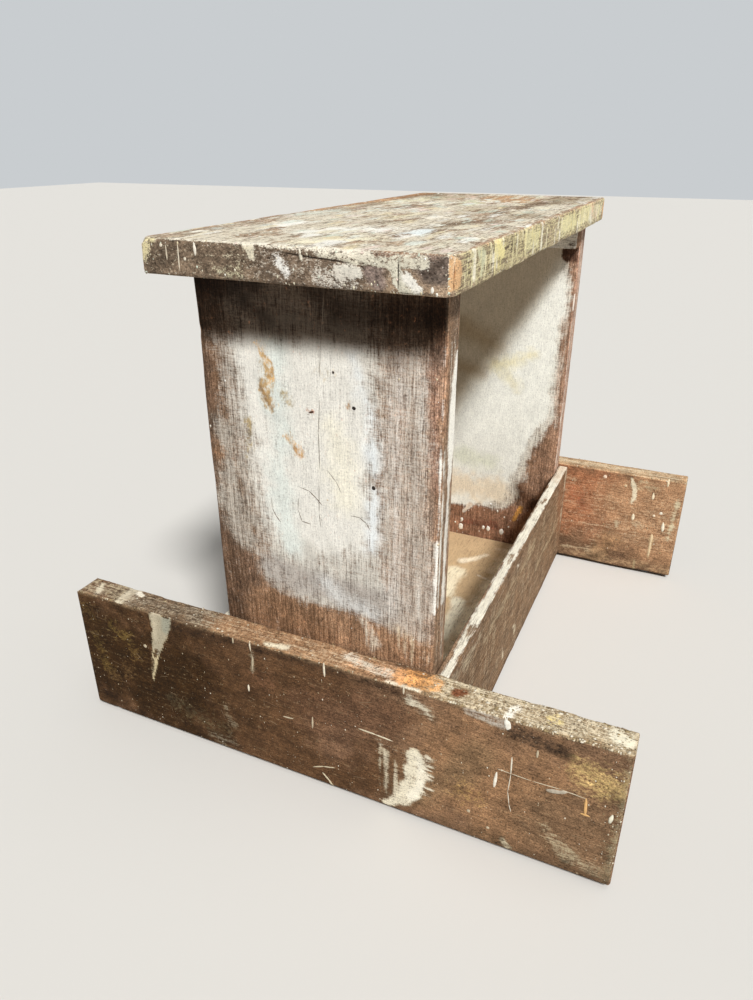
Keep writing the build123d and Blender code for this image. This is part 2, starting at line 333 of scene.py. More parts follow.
def worn_paint(name, lines, scuff, fleck, tear, crisp, pits):
    """Brush paint on old pine: brown wood with growth lines and open grain, under matt paint that has
    rubbed thin, torn off along the fibres, scuffed across them and flaked, with stains over all.
    Lines, scuff, fleck and pits say how strong those are, tear how ragged the paint is where it ends,
    and crisp how soft its edge is."""
    finish, tree, shader = new_finish(name)
    blend, multiply = {"data_type": "RGBA"}, {"data_type": "RGBA", "blend_type": "MULTIPLY"}
    smooth = {"interpolation_type": "SMOOTHSTEP"}
    wood = add(tree, "Attribute", {"attribute_name": "wood"}, {}).outputs["Color"]
    paint = add(tree, "Attribute", {"attribute_name": "paint"}, {}).outputs["Color"]
    coat = add(tree, "Attribute", {"attribute_name": "coat"}, {}).outputs["Fac"]
    dirt = add(tree, "Attribute", {"attribute_name": "dirt"}, {})
    grain = add(tree, "Attribute", {"attribute_name": "grain"}, {}).outputs["Vector"]

    # Noises by their length along and across the grain in mm, and their detail
    sizes = {
        "fibres": (13.0, 0.75, 2.0), "streaks": (80.0, 2.8, 3.0), "drift": (240.0, 26.0, 1.0),
        "scuffs": (0.8, 7.0, 2.0), "flakes": (4.5, 3.0, 7.0), "mottle": (17.0, 13.0, 6.0),
        "grit": (1.5, 1.1, 2.0),
    }
    noise = {}
    for key, (length, width, detail) in sizes.items():
        place = add(tree, "Mapping", {}, {"Vector": grain, "Scale": (1 / length, 1 / width, 1 / width)})
        noise[key] = add(tree, "TexNoise", {}, {
            "Vector": place, "Scale": 1.0, "Detail": detail, "Roughness": 0.68})

    # Bare wood: each growth ring darkens and then stops sharply, with open pores and patches
    pith = add(tree, "Attribute", {"attribute_name": "ring"}, {}).outputs["Fac"]
    ring_spacing, ring_sway = 3.2, 5.0
    sway = add(tree, "Math", {"operation": "MULTIPLY"}, {0: noise["drift"], 1: ring_sway})
    rings = add(tree, "Math", {"operation": "MULTIPLY_ADD"}, {0: pith, 1: 1 / ring_spacing, 2: sway})
    late = add(tree, "MapRange", smooth, {
        0: add(tree, "Math", {"operation": "FRACT"}, {0: rings}), 1: 0.66, 2: 0.97, 3: 0.0, 4: lines})
    tone = add(tree, "Mix", multiply, {"Factor": late, "A": wood, "B": linear("#8d6f58")})
    shades = {
        "streaks": (1 - 0.4 * lines, 1 + 0.35 * lines), "mottle": (0.68, 1.36), "flakes": (0.70, 1.34),
        "fibres": (1 - 0.7 * lines, 1 + 0.45 * lines),
    }
    for key, (dark, bright) in shades.items():
        level = add(tree, "MapRange", {}, {0: noise[key], 1: 0.34, 2: 0.66, 3: dark, 4: bright})
        tone = add(tree, "Mix", multiply, {"Factor": 1.0, "A": tone, "B": level})

    # Paint: chalky, torn along the fibres where it is thin
    rubbed = add(tree, "Mix", {"data_type": "FLOAT"}, {
        "Factor": scuff, "A": noise["fibres"], "B": noise["scuffs"]})
    flaked = add(tree, "Mix", {"data_type": "FLOAT"}, {"Factor": fleck, "A": rubbed, "B": noise["flakes"]})
    torn = add(tree, "Mix", {"data_type": "FLOAT"}, {"Factor": 0.25, "A": flaked, "B": noise["streaks"]})
    left = add(tree, "Math", {"operation": "MULTIPLY_ADD"}, {
        0: add(tree, "Math", {"operation": "SUBTRACT"}, {0: torn, 1: 0.5}), 1: tear, 2: coat})
    cover = add(tree, "MapRange", smooth, {0: left, 1: 0.5 - crisp, 2: 0.5 + crisp})
    chalky = paint
    shades = ((flaked, 0.88, 1.03), (noise["mottle"], 0.92, 1.05), (noise["fibres"], 0.93, 1.04))
    for level, dark, bright in shades:
        chalk = add(tree, "MapRange", {}, {0: level, 1: 0.32, 2: 0.62, 3: dark, 4: bright})
        chalky = add(tree, "Mix", multiply, {"Factor": 1.0, "A": chalky, "B": chalk})
    layered = add(tree, "Mix", blend, {"Factor": cover, "A": tone, "B": chalky})

    # Stains with broken edges, then dirt in pits
    soaked = add(tree, "Math", {"operation": "MULTIPLY_ADD"}, {
        0: add(tree, "Math", {"operation": "SUBTRACT"}, {0: noise["flakes"], 1: 0.5}), 1: 2.2,
        2: dirt.outputs["Alpha"]})
    stain = add(tree, "MapRange", smooth, {0: soaked, 1: 0.18, 2: 0.82, 3: 0.0, 4: 0.94})
    uneven = add(tree, "MapRange", {}, {0: noise["mottle"], 1: 0.36, 2: 0.64, 3: 0.4, 4: 1.7})
    tinted = add(tree, "Mix", multiply, {"Factor": 1.0, "A": dirt.outputs["Color"], "B": uneven})
    stained = add(tree, "Mix", blend, {"Factor": stain, "A": layered, "B": tinted})
    gritty = add(tree, "Mix", multiply, {
        "Factor": add(tree, "MapRange", {}, {0: cover, 3: 1.0, 4: 0.25}), "A": stained,
        "B": add(tree, "MapRange", {}, {0: noise["grit"], 1: 0.34, 2: 0.66, 3: 1.45, 4: 0.55})})
    pitted = add(tree, "MapRange", smooth, {0: noise["grit"], 1: 0.60, 2: 0.74, 3: 0.0, 4: pits})
    colour = add(tree, "Mix", multiply, {"Factor": pitted, "A": gritty, "B": linear("#66564a")})
    tree.links.new(result(colour), shader.inputs["Base Color"])
    rough = add(tree, "MapRange", {}, {0: cover, 3: 0.86, 4: 0.66})
    tree.links.new(rough.outputs[0], shader.inputs["Roughness"])
    shader.inputs["Specular IOR Level"].default_value = 0.12
    thick = add(tree, "Math", {"operation": "SUBTRACT"}, {0: cover, 1: pitted})
    relief = add(tree, "Math", {"operation": "MULTIPLY_ADD"}, {0: noise["fibres"], 1: 0.8, 2: thick})
    bump = add(tree, "Bump", {}, {"Height": relief, "Strength": 0.5, "Distance": 0.0005})
    tree.links.new(bump.outputs["Normal"], shader.inputs["Normal"])
    return finish


class Drips:
    """Dried runs, drops and specks of paint on a board: low closed beads half sunk in its face."""

    def __init__(self, name, board, seed):
        self.name, self.board, self.chance = name, board, np.random.default_rng(seed)
        self.bm = bmesh.new()
        self.layer = self.bm.verts.layers.float_color.new("paint")
        self.faces = {}

    def surface(self, way):
        """A search tree of the points on one face, each at its place across and up, with its depth."""
        if way not in self.faces:
            here, _, u, v = self.board.face(way)
            depth = self.board.points[here, bearing(way)[0]]
            tree = kdtree.KDTree(len(here))
            for index in range(len(here)):
                tree.insert((u[index], v[index], 0), index)
            tree.balance()
            self.faces[way] = tree, depth, u, v
        return self.faces[way]

    def bead(self, way, start, end, wide, narrow, proud, colour, rounds=2):
        """One bead from start to end, each (u, v) in mm on a face, with its half width at each."""
        tree, depth, _, _ = self.surface(way)
        axis, sign = bearing(way)
        start, end = np.array(start, float), np.array(end, float)
        length = np.hypot(*(end - start))
        along = (end - start) / length if length > 0 else np.array([0.0, 1.0])
        across = np.array([-along[1], along[0]])
        tint = linear(colour)
        for vert in bmesh.ops.create_icosphere(self.bm, subdivisions=rounds, radius=1.0)["verts"]:
            x, y, z = vert.co
            half = (wide + (narrow - wide) * (x + 1) / 2) * self.chance.uniform(0.85, 1.15)
            u, v = (start + end) / 2 + along * x * (length / 2 + half) + across * y * half
            place = [u, v]
            place.insert(axis, depth[tree.find((u, v, 0))[1]] + sign * z * proud)
            vert.co = [min(max(c, l * 1000), h * 1000) / 1000 for c, l, h in zip(place, cad_low, cad_high)]
            vert[self.layer] = tint

    def run(self, way, path, proud, colour, flip=1):
        """A drip or thread of paint along a path of (u, v, half width) in mm."""
        for (u0, v0, r0), (u1, v1, r1) in zip(path, path[1:] or path):
            self.bead(way, (flip * u0, v0), (flip * u1, v1), r0, r1, proud, colour)

    def specks(self, way, count, colours, least, most, region=None):
        """Fine spatter at random places on a face, or in one region (u0, u1, v0, v1) of it."""
        _, _, u, v = self.surface(way)
        inside = np.ones(len(u), bool)
        if region:
            inside = (u > region[0]) & (u < region[1]) & (v > region[2]) & (v < region[3])
        for pick in self.chance.choice(np.nonzero(inside)[0], count):
            size = least + (most - least) * self.chance.random() ** 3
            fall = size * self.chance.uniform(0, 1.5)
            place = np.array([u[pick], v[pick]])
            colour = colours[self.chance.integers(len(colours))]
            self.bead(way, place, place + (0, fall), size, size * 0.8, 0.25 * size, colour, rounds=1)

    def lay(self, finish, slot):
        """Makes the beads one piece that rides with the stool."""
        bmesh.ops.recalc_face_normals(self.bm, faces=self.bm.faces)
        piece = placed(self.name, self.bm)
        piece.data.shade_smooth()
        piece.data.materials.append(finish)
        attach(piece, "root")


def dried_paint(name):
    """Drops of oil paint dried hard: an even colour, a little dirty, smoother than the coats below."""
    finish, tree, shader = new_finish(name)
    dirt_size = 2.5
    place = add(tree, "TexCoord", {}, {}).outputs["Object"]
    dirt = add(tree, "TexNoise", {}, {"Vector": place, "Scale": 1000 / dirt_size, "Detail": 4.0})
    colour = add(tree, "Mix", {"data_type": "RGBA", "blend_type": "MULTIPLY"}, {
        "Factor": 1.0, "A": add(tree, "Attribute", {"attribute_name": "paint"}, {}).outputs["Color"],
        "B": add(tree, "MapRange", {}, {0: dirt, 1: 0.3, 2: 0.6, 3: 0.78, 4: 1.02})})
    tree.links.new(result(colour), shader.inputs["Base Color"])
    shader.inputs["Roughness"].default_value = 0.55
    shader.inputs["Specular IOR Level"].default_value = 0.25
    bump = add(tree, "Bump", {}, {"Height": dirt, "Strength": 0.3, "Distance": 0.0003})
    tree.links.new(bump.outputs["Normal"], shader.inputs["Normal"])
    return finish


panel_outer = [
    ("wood", "#705846", 0.95, 7, [(99, 441, 15), (99, 250, 10), (92, 205, 27), (90, 150, 34)]),
    ("wood", "#5d4636", 0.8, 5, [(98, 260, 4), (97, 150, 6)]),
    ("wood", "#ae9581", 0.95, 9, [(-76, 390, 26), (-78, 186, 26)]),
    ("wood", "#9a7763", 0.8, 6, [(-96, 405, 9), (-96, 300, 8)]),
    ("wood", "#8d7a68", 0.7, 10, [(72, 400, 12), (68, 240, 12)]),
    ("wood", "#988b7f", 0.9, 8, [(44, 200, 14), (-56, 194, 16)]),
    ("wood", "#8f8070", 0.8, 9, [(82, 322, 11), (80, 262, 14), (74, 230, 14)]),
    ("wood", "#a07e61", 0.9, 8, [(70, 148, 22), (-90, 146, 20)]),
    ("paint", "#c9bfb2", 0.50, 9, [(-2, 430, 88), (-4, 300, 88), (-12, 250, 82), (-22, 200, 74)]),
    ("paint", "#d8d2c6", 0.68, 10, [(8, 441, 66), (8, 300, 64), (2, 246, 58), (-6, 222, 52)]),
    ("paint", "#e8e4da", 0.96, 11, [(10, 420, 57), (8, 330, 56), (2, 262, 48)]),
    ("paint", "#c4bbae", 0.52, 8, [(82, 322, 10), (80, 262, 13), (73, 230, 14)]),
    ("paint", "#b9b1a8", 0.62, 7, [(46, 200, 13), (-50, 192, 14)]),
    ("paint", "#d4d2cd", 0.76, 7, [(-4, 200, 6), (-14, 190, 8), (-42, 178, 7)]),
    ("paint", "#d2cdc2", 0.72, 8, [(30, 224, 11), (-44, 218, 10)]),
    ("paint", "#e0e4dc", 0.97, 10, [(34, 392, 8), (34, 300, 8), (30, 228, 7)]),
    ("paint", "#f0ead8", 1.0, 10, [(-14, 334, 9), (-22, 302, 14), (-23, 276, 11)]),
    ("paint", "#e8ebea", 1.0, 8, [(-30, 390, 4), (-44, 352, 5), (-47, 300, 5), (-44, 240, 4)]),
    ("run", "#ded6cc", 0.60, 7, [(-62, 396, 8), (-64, 180, 9)]),
    ("run", "#e2dbd0", 0.55, 6, [(-80, 400, 7), (-86, 290, 6)]),
    ("run", "#e6dfd4", 0.66, 5, [(-84, 245, 5), (-88, 190, 4)]),
    ("paint", "#f0ebe1", 0.95, 1.6, [(-97.5, 436, 1.2), (-97.5, 196, 1.3)]),
    ("wear", "#a07c66", 0.7, 5, [(-93, 398, 5), (-95, 350, 4)]),
    ("wear", "#ac8a70", 0.8, 2.5, [(-98, 388, 2), (-98, 370, 2.5)]),
    ("wear", "#a98567", 0.8, 2.5, [(-97, 352, 2.5), (-98, 334, 2)]),
    ("wear", "#a87c5c", 0.8, 3, [(-96, 300, 2), (-97, 262, 2)]),
    ("wear", "#6f5745", 0.9, 8, [(99, 224, 6), (88, 192, 20), (82, 168, 27)]),
    ("wear", "#9c7a5e", 1.0, 6, [
        (60, 156, 22), (20, 150, 22), (-20, 154, 22), (-60, 146, 20), (-99, 142, 14)]),
    ("wood", "#86664c", 0.9, 9, [(58, 152, 20), (8, 148, 18)]),
    ("wood", "#644d3b", 0.9, 9, [(96, 190, 18), (92, 150, 20)]),
    ("run", "#d9c7a8", 0.55, 5, [(-66, 172, 5), (-84, 150, 9)]),
    ("run", "#ddd0bc", 0.62, 4, [(-36, 172, 5), (-45, 152, 7)]),
    ("stain", "#c0a47a", 0.36, 5, [(44, 390, 5), (40, 345, 6)]),
    ("stain", "#b08a52", 0.50, 3, [(49, 392, 1.5), (43, 384, 2.5), (38, 374, 4.5), (36, 365, 3)]),
    ("stain", "#b08a52", 0.50, 3, [(46, 361, 3.5), (41, 351, 3), (37, 341, 1.5)]),
    ("stain", "#85602f", 0.55, 1.4, [(43, 384, 0.8), (36, 378, 1.0), (36, 370, 1.2), (40, 367, 0.9)]),
    ("stain", "#85602f", 0.55, 1.4, [(47, 358, 0.8), (43, 349, 1.2), (38, 344, 0.8)]),
    ("stain", "#9c8860", 0.58, 4, [(60, 329, 5), (60, 318, 5), (64, 300, 2)]),
    ("stain", "#6a5739", 0.55, 1.2, [(60, 322, 0.8), (65, 314, 0.8), (68, 306, 0.7)]),
    ("stain", "#bd9767", 0.50, 4, [(27, 323, 2), (20, 317, 3), (15, 311, 5)]),
    ("stain", "#a97d4d", 0.50, 1.4, [(19, 314, 0.9), (16, 307, 1.0), (11, 309, 0.9), (13, 315, 0.8)]),
    ("stain", "#a9956c", 0.52, 4, [(27, 357, 3), (23, 350, 4)]),
    ("stain", "#bcae94", 0.36, 6, [(-2, 380, 4), (-10, 376, 4)]),
    ("stain", "#d0a67a", 0.6, 2.0, [(-26, 353, 3)]),
    ("stain", "#b97a55", 0.6, 1.6, [(7, 345, 1.5), (3, 346, 1.5)]),
    ("wear", "#9a8776", 0.45, 9, [(110, 424, 22), (-110, 417, 22)]),
    ("paint", "#c9c3b8", 0.8, 7, [(40, 412, 6), (-30, 408, 6)]),
    ("paint", "#d6cfc0", 0.8, 4, [(18, 432, 5), (12, 428, 4)]),
    # Painted shade: the dark band under the top's overhang deepens the top's cast shadow and is lined up
    # with its edge, over some real grime.
    ("soot", "#776b61", 1.0, 10, [(110, 418, 27), (-60, 420, 27), (-110, 426, 25)]),
    ("soot", "#8c8279", 0.9, 9, [(110, 434, 12), (50, 438, 14)]),
    ("soot", "#a3998f", 0.9, 8, [(4, 440, 10), (-20, 420, 9), (-100, 424, 10)]),
    ("soot", "#988d83", 0.8, 5, [(56, 420, 4), (36, 410, 4)]),
]
far_outer = [mark for mark in panel_outer if mark[0] not in ("stain", "soot")] + [
    ("stain", "#a8946a", 0.5, 5, [(-24, 322, 5), (-28, 286, 4), (-26, 262, 2)]),
    ("stain", "#8d7a58", 0.45, 5, [(52, 236, 6), (46, 214, 5)]),
    # A darker strip under the top's overhang: some grime, and painted shade under the top.
    ("soot", "#a3988d", 0.9, 14, [(110, 438, 12), (-110, 434, 14)]),
]
panel_spots = [
    ("#2a211b", [(-46, 293, 1.6), (-46, 293.5, 1.4)]),
    ("#3a2f27", [(-14.5, 377, 1.0), (-14.5, 377.5, 0.9)]),
    ("#241a14", [(-30.5, 353, 1.5), (-31, 353, 1.3)]),
    ("#4a2d1e", [(3, 345.5, 1.1), (6, 344.6, 0.7)]),
]
panel_scratches = [
    [(44, 268, 0.2), (44, 258, 0.3), (41, 252, 0.5), (37, 247, 0.4)],
    [(18, 282, 0.2), (9, 280, 0.4), (3, 275, 0.6), (-2, 270, 0.3)],
    [(-26, 266, 0.2), (-34, 266, 0.4), (-40, 262, 0.4), (-43, 257, 0.2)],
    [(19, 272, 0.3), (20, 262, 0.2), (17, 252, 0.4), (9, 251, 0.4)],
    [(-8, 300, 0.2), (-15, 292, 0.3), (-19, 284, 0.2)],
    [(-9, 432, 0.3), (-5, 392, 0.2), (-3, 372, 0.2)],
    [(-3, 356, 0.2), (-1, 330, 0.4), (-1, 300, 0.25)],
    [(0, 290, 0.2), (1, 262, 0.35), (0, 250, 0.2)],
]
panel_drops = [(23, 40, 2.2), (24, 28, 3.6), (-9, 34, 2.2), (-16, 33, 2.8), (-35, 32, 3.4)]
panel_inner = [
    ("wood", "#a5836b", 0.9, 6, [(-99, 441, 12), (-99, 190, 18)]),
    ("wood", "#a07d64", 0.9, 12, [(-84, 150, 26), (-66, 60, 30)]),
    ("wood", "#8a5f47", 0.9, 8, [(99, 40, 30), (-99, 40, 30)]),
    ("paint", "#e9e3d4", 0.66, 6, [(3, 441, 97), (3, 230, 95), (14, 176, 86), (22, 120, 78), (24, 96, 70)]),
    ("paint", "#f8f7ec", 1.05, 7, [
        (4, 441, 92), (4, 240, 90), (14, 186, 78), (22, 136, 68), (26, 112, 60)]),
    ("paint", "#f1e2c8", 1.0, 12, [(99, 96, 20), (-22, 94, 17)]),
    ("paint", "#e9ead6", 0.95, 12, [(60, 140, 10), (-6, 134, 10)]),
    ("paint", "#f3ebc8", 0.95, 8, [(-12, 268, 7), (-34, 276, 8), (-58, 286, 6)]),
    ("paint", "#efe9cf", 0.95, 8, [(-26, 258, 6), (-36, 246, 6)]),
    ("run", "#e6d3c0", 0.6, 4, [(-92, 330, 4), (-92, 200, 5)]),
    ("wear", "#936d55", 1.0, 5, [(99, 36, 30), (20, 36, 30), (-40, 38, 30), (-99, 52, 36)]),
    ("paint", "#ead9c4", 0.95, 1.5, [(12, 67, 4), (18, 59, 3), (22, 53, 1)]),
    ("wear", "#654a3b", 1.0, 2.5, [(-87, 407, 9), (-99, 407, 9)]),
    ("soot", "#857567", 0.9, 9, [(-54, 106, 6), (-60, 94, 9), (-72, 84, 10)]),
    ("stain", "#b98546", 0.9, 2, [(-60, 76, 3), (-55, 66, 3), (-51, 56, 2.5)]),
    ("stain", "#6f4636", 0.6, 4, [(20, 38, 6), (-26, 42, 6)]),
    # Painted shadow: a broad diagonal darkening that follows the shadow the top casts on this face. The two
    # marks after it are dirt mottled within that zone.
    ("soot", "#c4b6a5", 1.0, 14, [(-55, 538, 100), (124, 259, 100)]),
    ("soot", "#d8cbb8", 0.8, 14, [(34, 312, 16), (-12, 292, 9)]),
    ("soot", "#dccfbe", 0.8, 10, [(40, 262, 10), (10, 258, 8)]),
    ("stain", "#2f251e", 0.8, 1.5, [(-60, 381, 1.6)]),
]
# The near panel's inner face takes the far one's marks without the darkening ones, so it has no painted
# shadow.
near_inner = [mark for mark in panel_inner if mark[0] != "soot"]
panel_edge = [
    ("wood", "#93785f", 0.8, 6, [(-224, 441, 14), (-224, 140, 14)]),
    ("wood", "#75614f", 0.9, 8, [(-224, 441, 14), (-224, 412, 12)]),
    ("run", "#d3c7b5", 0.52, 4, [(-224, 400, 9), (-224, 150, 8)]),
    ("paint", "#f4f0e4", 1.05, 2.5, [(-215, 396, 1.5), (-217, 374, 6), (-219, 330, 7), (-219, 304, 4)]),
    ("paint", "#e6dfd2", 0.9, 2, [(-221, 310, 3), (-222, 200, 2.5)]),
    ("paint", "#ece7db", 0.9, 1.5, [(-233, 330, 1.2), (-233, 200, 1.2)]),
    ("wear", "#ab8468", 0.8, 2.5, [(-235, 410, 3), (-234, 345, 2.5)]),
]
far_edge = [
    ("wood", "#b68f78", 0.95, 4, [(-224, 441, 16), (-224, 140, 16)]),
    ("run", "#ddccba", 0.5, 4, [(-224, 430, 9), (-224, 140, 9)]),
    ("paint", "#f2e8da", 0.95, 1.5, [(-214, 362, 1.6), (-214, 346, 2.2)]),
    ("paint", "#e9ddcc", 0.85, 1.5, [(-215, 330, 1.0), (-215, 150, 1.2)]),
    ("stain", "#7c4f3a", 0.5, 4, [(-230, 436, 4), (-228, 400, 3)]),
]
drip_finish = dried_paint("dried_oil_paint")
panel_finish = worn_paint(
    "white_paint_on_pine", lines=0.5, scuff=0.45, fleck=0.2, tear=3.2, crisp=0.40, pits=0.3)
for end, seed in (("left", 11), ("right", 23)):
    panel = Board(f"{end}_panel", f"{end}_end_panel", "Z", 1.7, 1.8, "#8a6a50", seed)
    outer_way, inner_way = ("-X", "+X") if end == "left" else ("+X", "-X")
    across = 1 if end == "left" else -1
    panel.brush(outer_way, panel_outer if end == "left" else far_outer, across)
    panel.brush(inner_way, near_inner if end == "left" else panel_inner, -across)
    for edge_way in ("-Y", "+Y"):
        panel.brush(edge_way, panel_edge if end == "left" else far_edge, across)
    panel.lay(panel_finish, "end_panel_paint")
    drips = Drips(f"{end}_panel_spots", panel, seed + 9)
    if end == "left":
        for colour, path in panel_spots:
            drips.run("-X", path, 0.2, colour)
        for scratch in panel_scratches:
            drips.run("-X", scratch, 0.05, "#6f6152")
    else:
        for u, v, r in panel_drops:
            drips.bead("-X", (u, v), (u, v + r), r, r * 0.9, 0.5, "#f0e9da")
    drips.specks(outer_way, 50, ("#f3efe6", "#e9e2d2", "#d9c8a8"), 0.4, 1.0, (-99, 99, 20, 390))
    drips.specks(inner_way, 40, ("#f3efe6", "#e9e2d2"), 0.5, 1.8, (-99, 99, 20, 75))
    drips.lay(drip_finish, "end_panel_paint")


# Bottom shelf. One thin pine board, the floor of the tray, bare and tan from handling, with pale
# smears of paint and a pale strip of painted light along the front rail. It lies between the panels and the
# rails and is nailed through them.

shelf_top = [
    ("paint", "#c5a882", 0.72, 10, [(-212, 0, 120), (212, 0, 120)]),
    # Painted light: a pale strip along the front rail that lifts the rail's cast shadow on the shelf.
    ("paint", "#f6e6c6", 0.9, 12, [(-212, -84, 40), (212, -80, 36)]),
    ("paint", "#ecdfc0", 0.62, 5, [(60, -8, 10), (110, -4, 12)]),
    ("paint", "#f0e0c4", 0.80, 2.5, [(140, -4, 5), (150, -16, 4), (166, -28, 4)]),
    ("paint", "#efe6cc", 0.66, 4, [(-30, -40, 7), (44, -30, 8)]),
    ("paint", "#e3d5b4", 0.6, 9, [(-150, 20, 14), (-80, 34, 12)]),
    ("paint", "#e3d5b4", 0.6, 9, [(60, 50, 14), (190, 60, 10)]),
    ("stain", "#a98a62", 0.4, 8, [(110, -40, 6), (60, -48, 6)]),
    ("paint", "#f7edd8", 0.9, 1.2, [(112, -34, 1.2), (104, -58, 1.8)]),
    ("paint", "#f7edd8", 0.9, 1.2, [(8, -48, 1.0), (0, -74, 2.0)]),
    ("paint", "#f4e8d0", 0.9, 1.2, [(-36, -50, 1.6), (-44, -78, 1.0)]),
    ("paint", "#f4e8d0", 0.8, 1.5, [(-72, -58, 2.0), (-78, -86, 1.2)]),
]
shelf_finish = worn_paint(
    "bare_pine_with_smears", lines=0.3, scuff=0.1, fleck=0.5, tear=3.4, crisp=0.28, pits=0.4)
shelf = Board("shelf", "bottom_shelf", "X", 3.0, 1.2, "#c4a57e", 31)
shelf.brush("+Z", shelf_top)
shelf.brush("-Z", [("wood", "#8f7458", 0.8, 30, [(-150, 0, 90), (150, 0, 90)])])
shelf.lay(shelf_finish, "shelf_wood")


# Rails. Two thin pine boards on edge that close the long sides of the tray, nailed to the edges of
# the panels and to the shelf. Outside they are bare grey-brown; white paint is left along the top.

rail_outer = [
    ("wood", "#75593f", 0.7, 20, [(-237, 60, 50), (-120, 60, 40)]),
    ("wood", "#946849", 0.7, 16, [(200, 110, 20), (237, 60, 30)]),
    ("paint", "#978066", 0.30, 14, [(-237, 70, 60), (237, 70, 60)]),
    ("run", "#b8a486", 0.42, 12, [(-237, 70, 60), (237, 70, 60)]),
    ("paint", "#c9b89a", 0.50, 6, [(-237, 124, 9), (-150, 118, 8)]),
    ("paint", "#c2b08f", 0.44, 6, [(-130, 104, 6), (60, 106, 8)]),
    ("paint", "#c2b08f", 0.42, 6, [(90, 64, 8), (200, 70, 7)]),
    ("paint", "#d6c8ac", 0.7, 3, [(-54, 44, 3), (-48, 26, 4)]),
    ("paint", "#d0c0a2", 0.66, 3, [(-10, 42, 3), (0, 30, 4)]),
    ("paint", "#e6dcc8", 0.9, 1.6, [(-18, 123, 1.6), (-10, 120, 1.2)]),
    ("paint", "#d0bfa2", 0.6, 5, [(228, 130, 6), (228, 40, 5)]),
    ("stain", "#55422f", 0.6, 7, [(-237, 6, 5), (237, 6, 5)]),
]
rail_inner = [
    ("paint", "#d8ccb4", 0.55, 10, [(-212, 128, 12), (212, 128, 12)]),
    ("stain", "#6b5440", 0.7, 10, [(-212, 24, 10), (212, 24, 10)]),
]
rail_top = [
    ("wood", "#8a7058", 0.9, 3, [(-237, -105, 9), (237, -105, 9)]),
    ("paint", "#e4ddca", 0.84, 2.2, [
        (-237, -107, 4.2), (-60, -106, 4.6), (110, -106, 5.2), (237, -106, 6)]),
    *[("wear", "#8f765b", 0.6, 2.5, path) for path in (
        [(-176, -107, 2), (-160, -107, 3)], [(-40, -107, 2), (-22, -106, 3)],
        [(112, -105, 3), (126, -107, 2)])],
    ("paint", "#d6c4ac", 0.8, 18, [(206, -105, 14), (242, -105, 16)]),
]
rail_finish = worn_paint(
    "grey_brown_pine", lines=0.28, scuff=0.1, fleck=0.3, tear=3.4, crisp=0.3, pits=0.3)
for side, seed in (("front", 41), ("back", 53)):
    rail = Board(f"{side}_side_rail", f"{side}_rail", "X", 2.4, 2.2, "#80644a", seed, side == "back")
    outer_way, inner_way = ("-Y", "+Y") if side == "front" else ("+Y", "-Y")
    rail.brush(outer_way, rail_outer, 1 if side == "front" else -1)
    rail.brush(inner_way, rail_inner)
    edge = rail_top
    if side == "back":
        edge = [(*mark[:4], [(u, -v, r) for u, v, r in mark[4]]) for mark in rail_top]
    rail.brush("+Z", edge)
    rail.lay(rail_finish, "rail_wood")
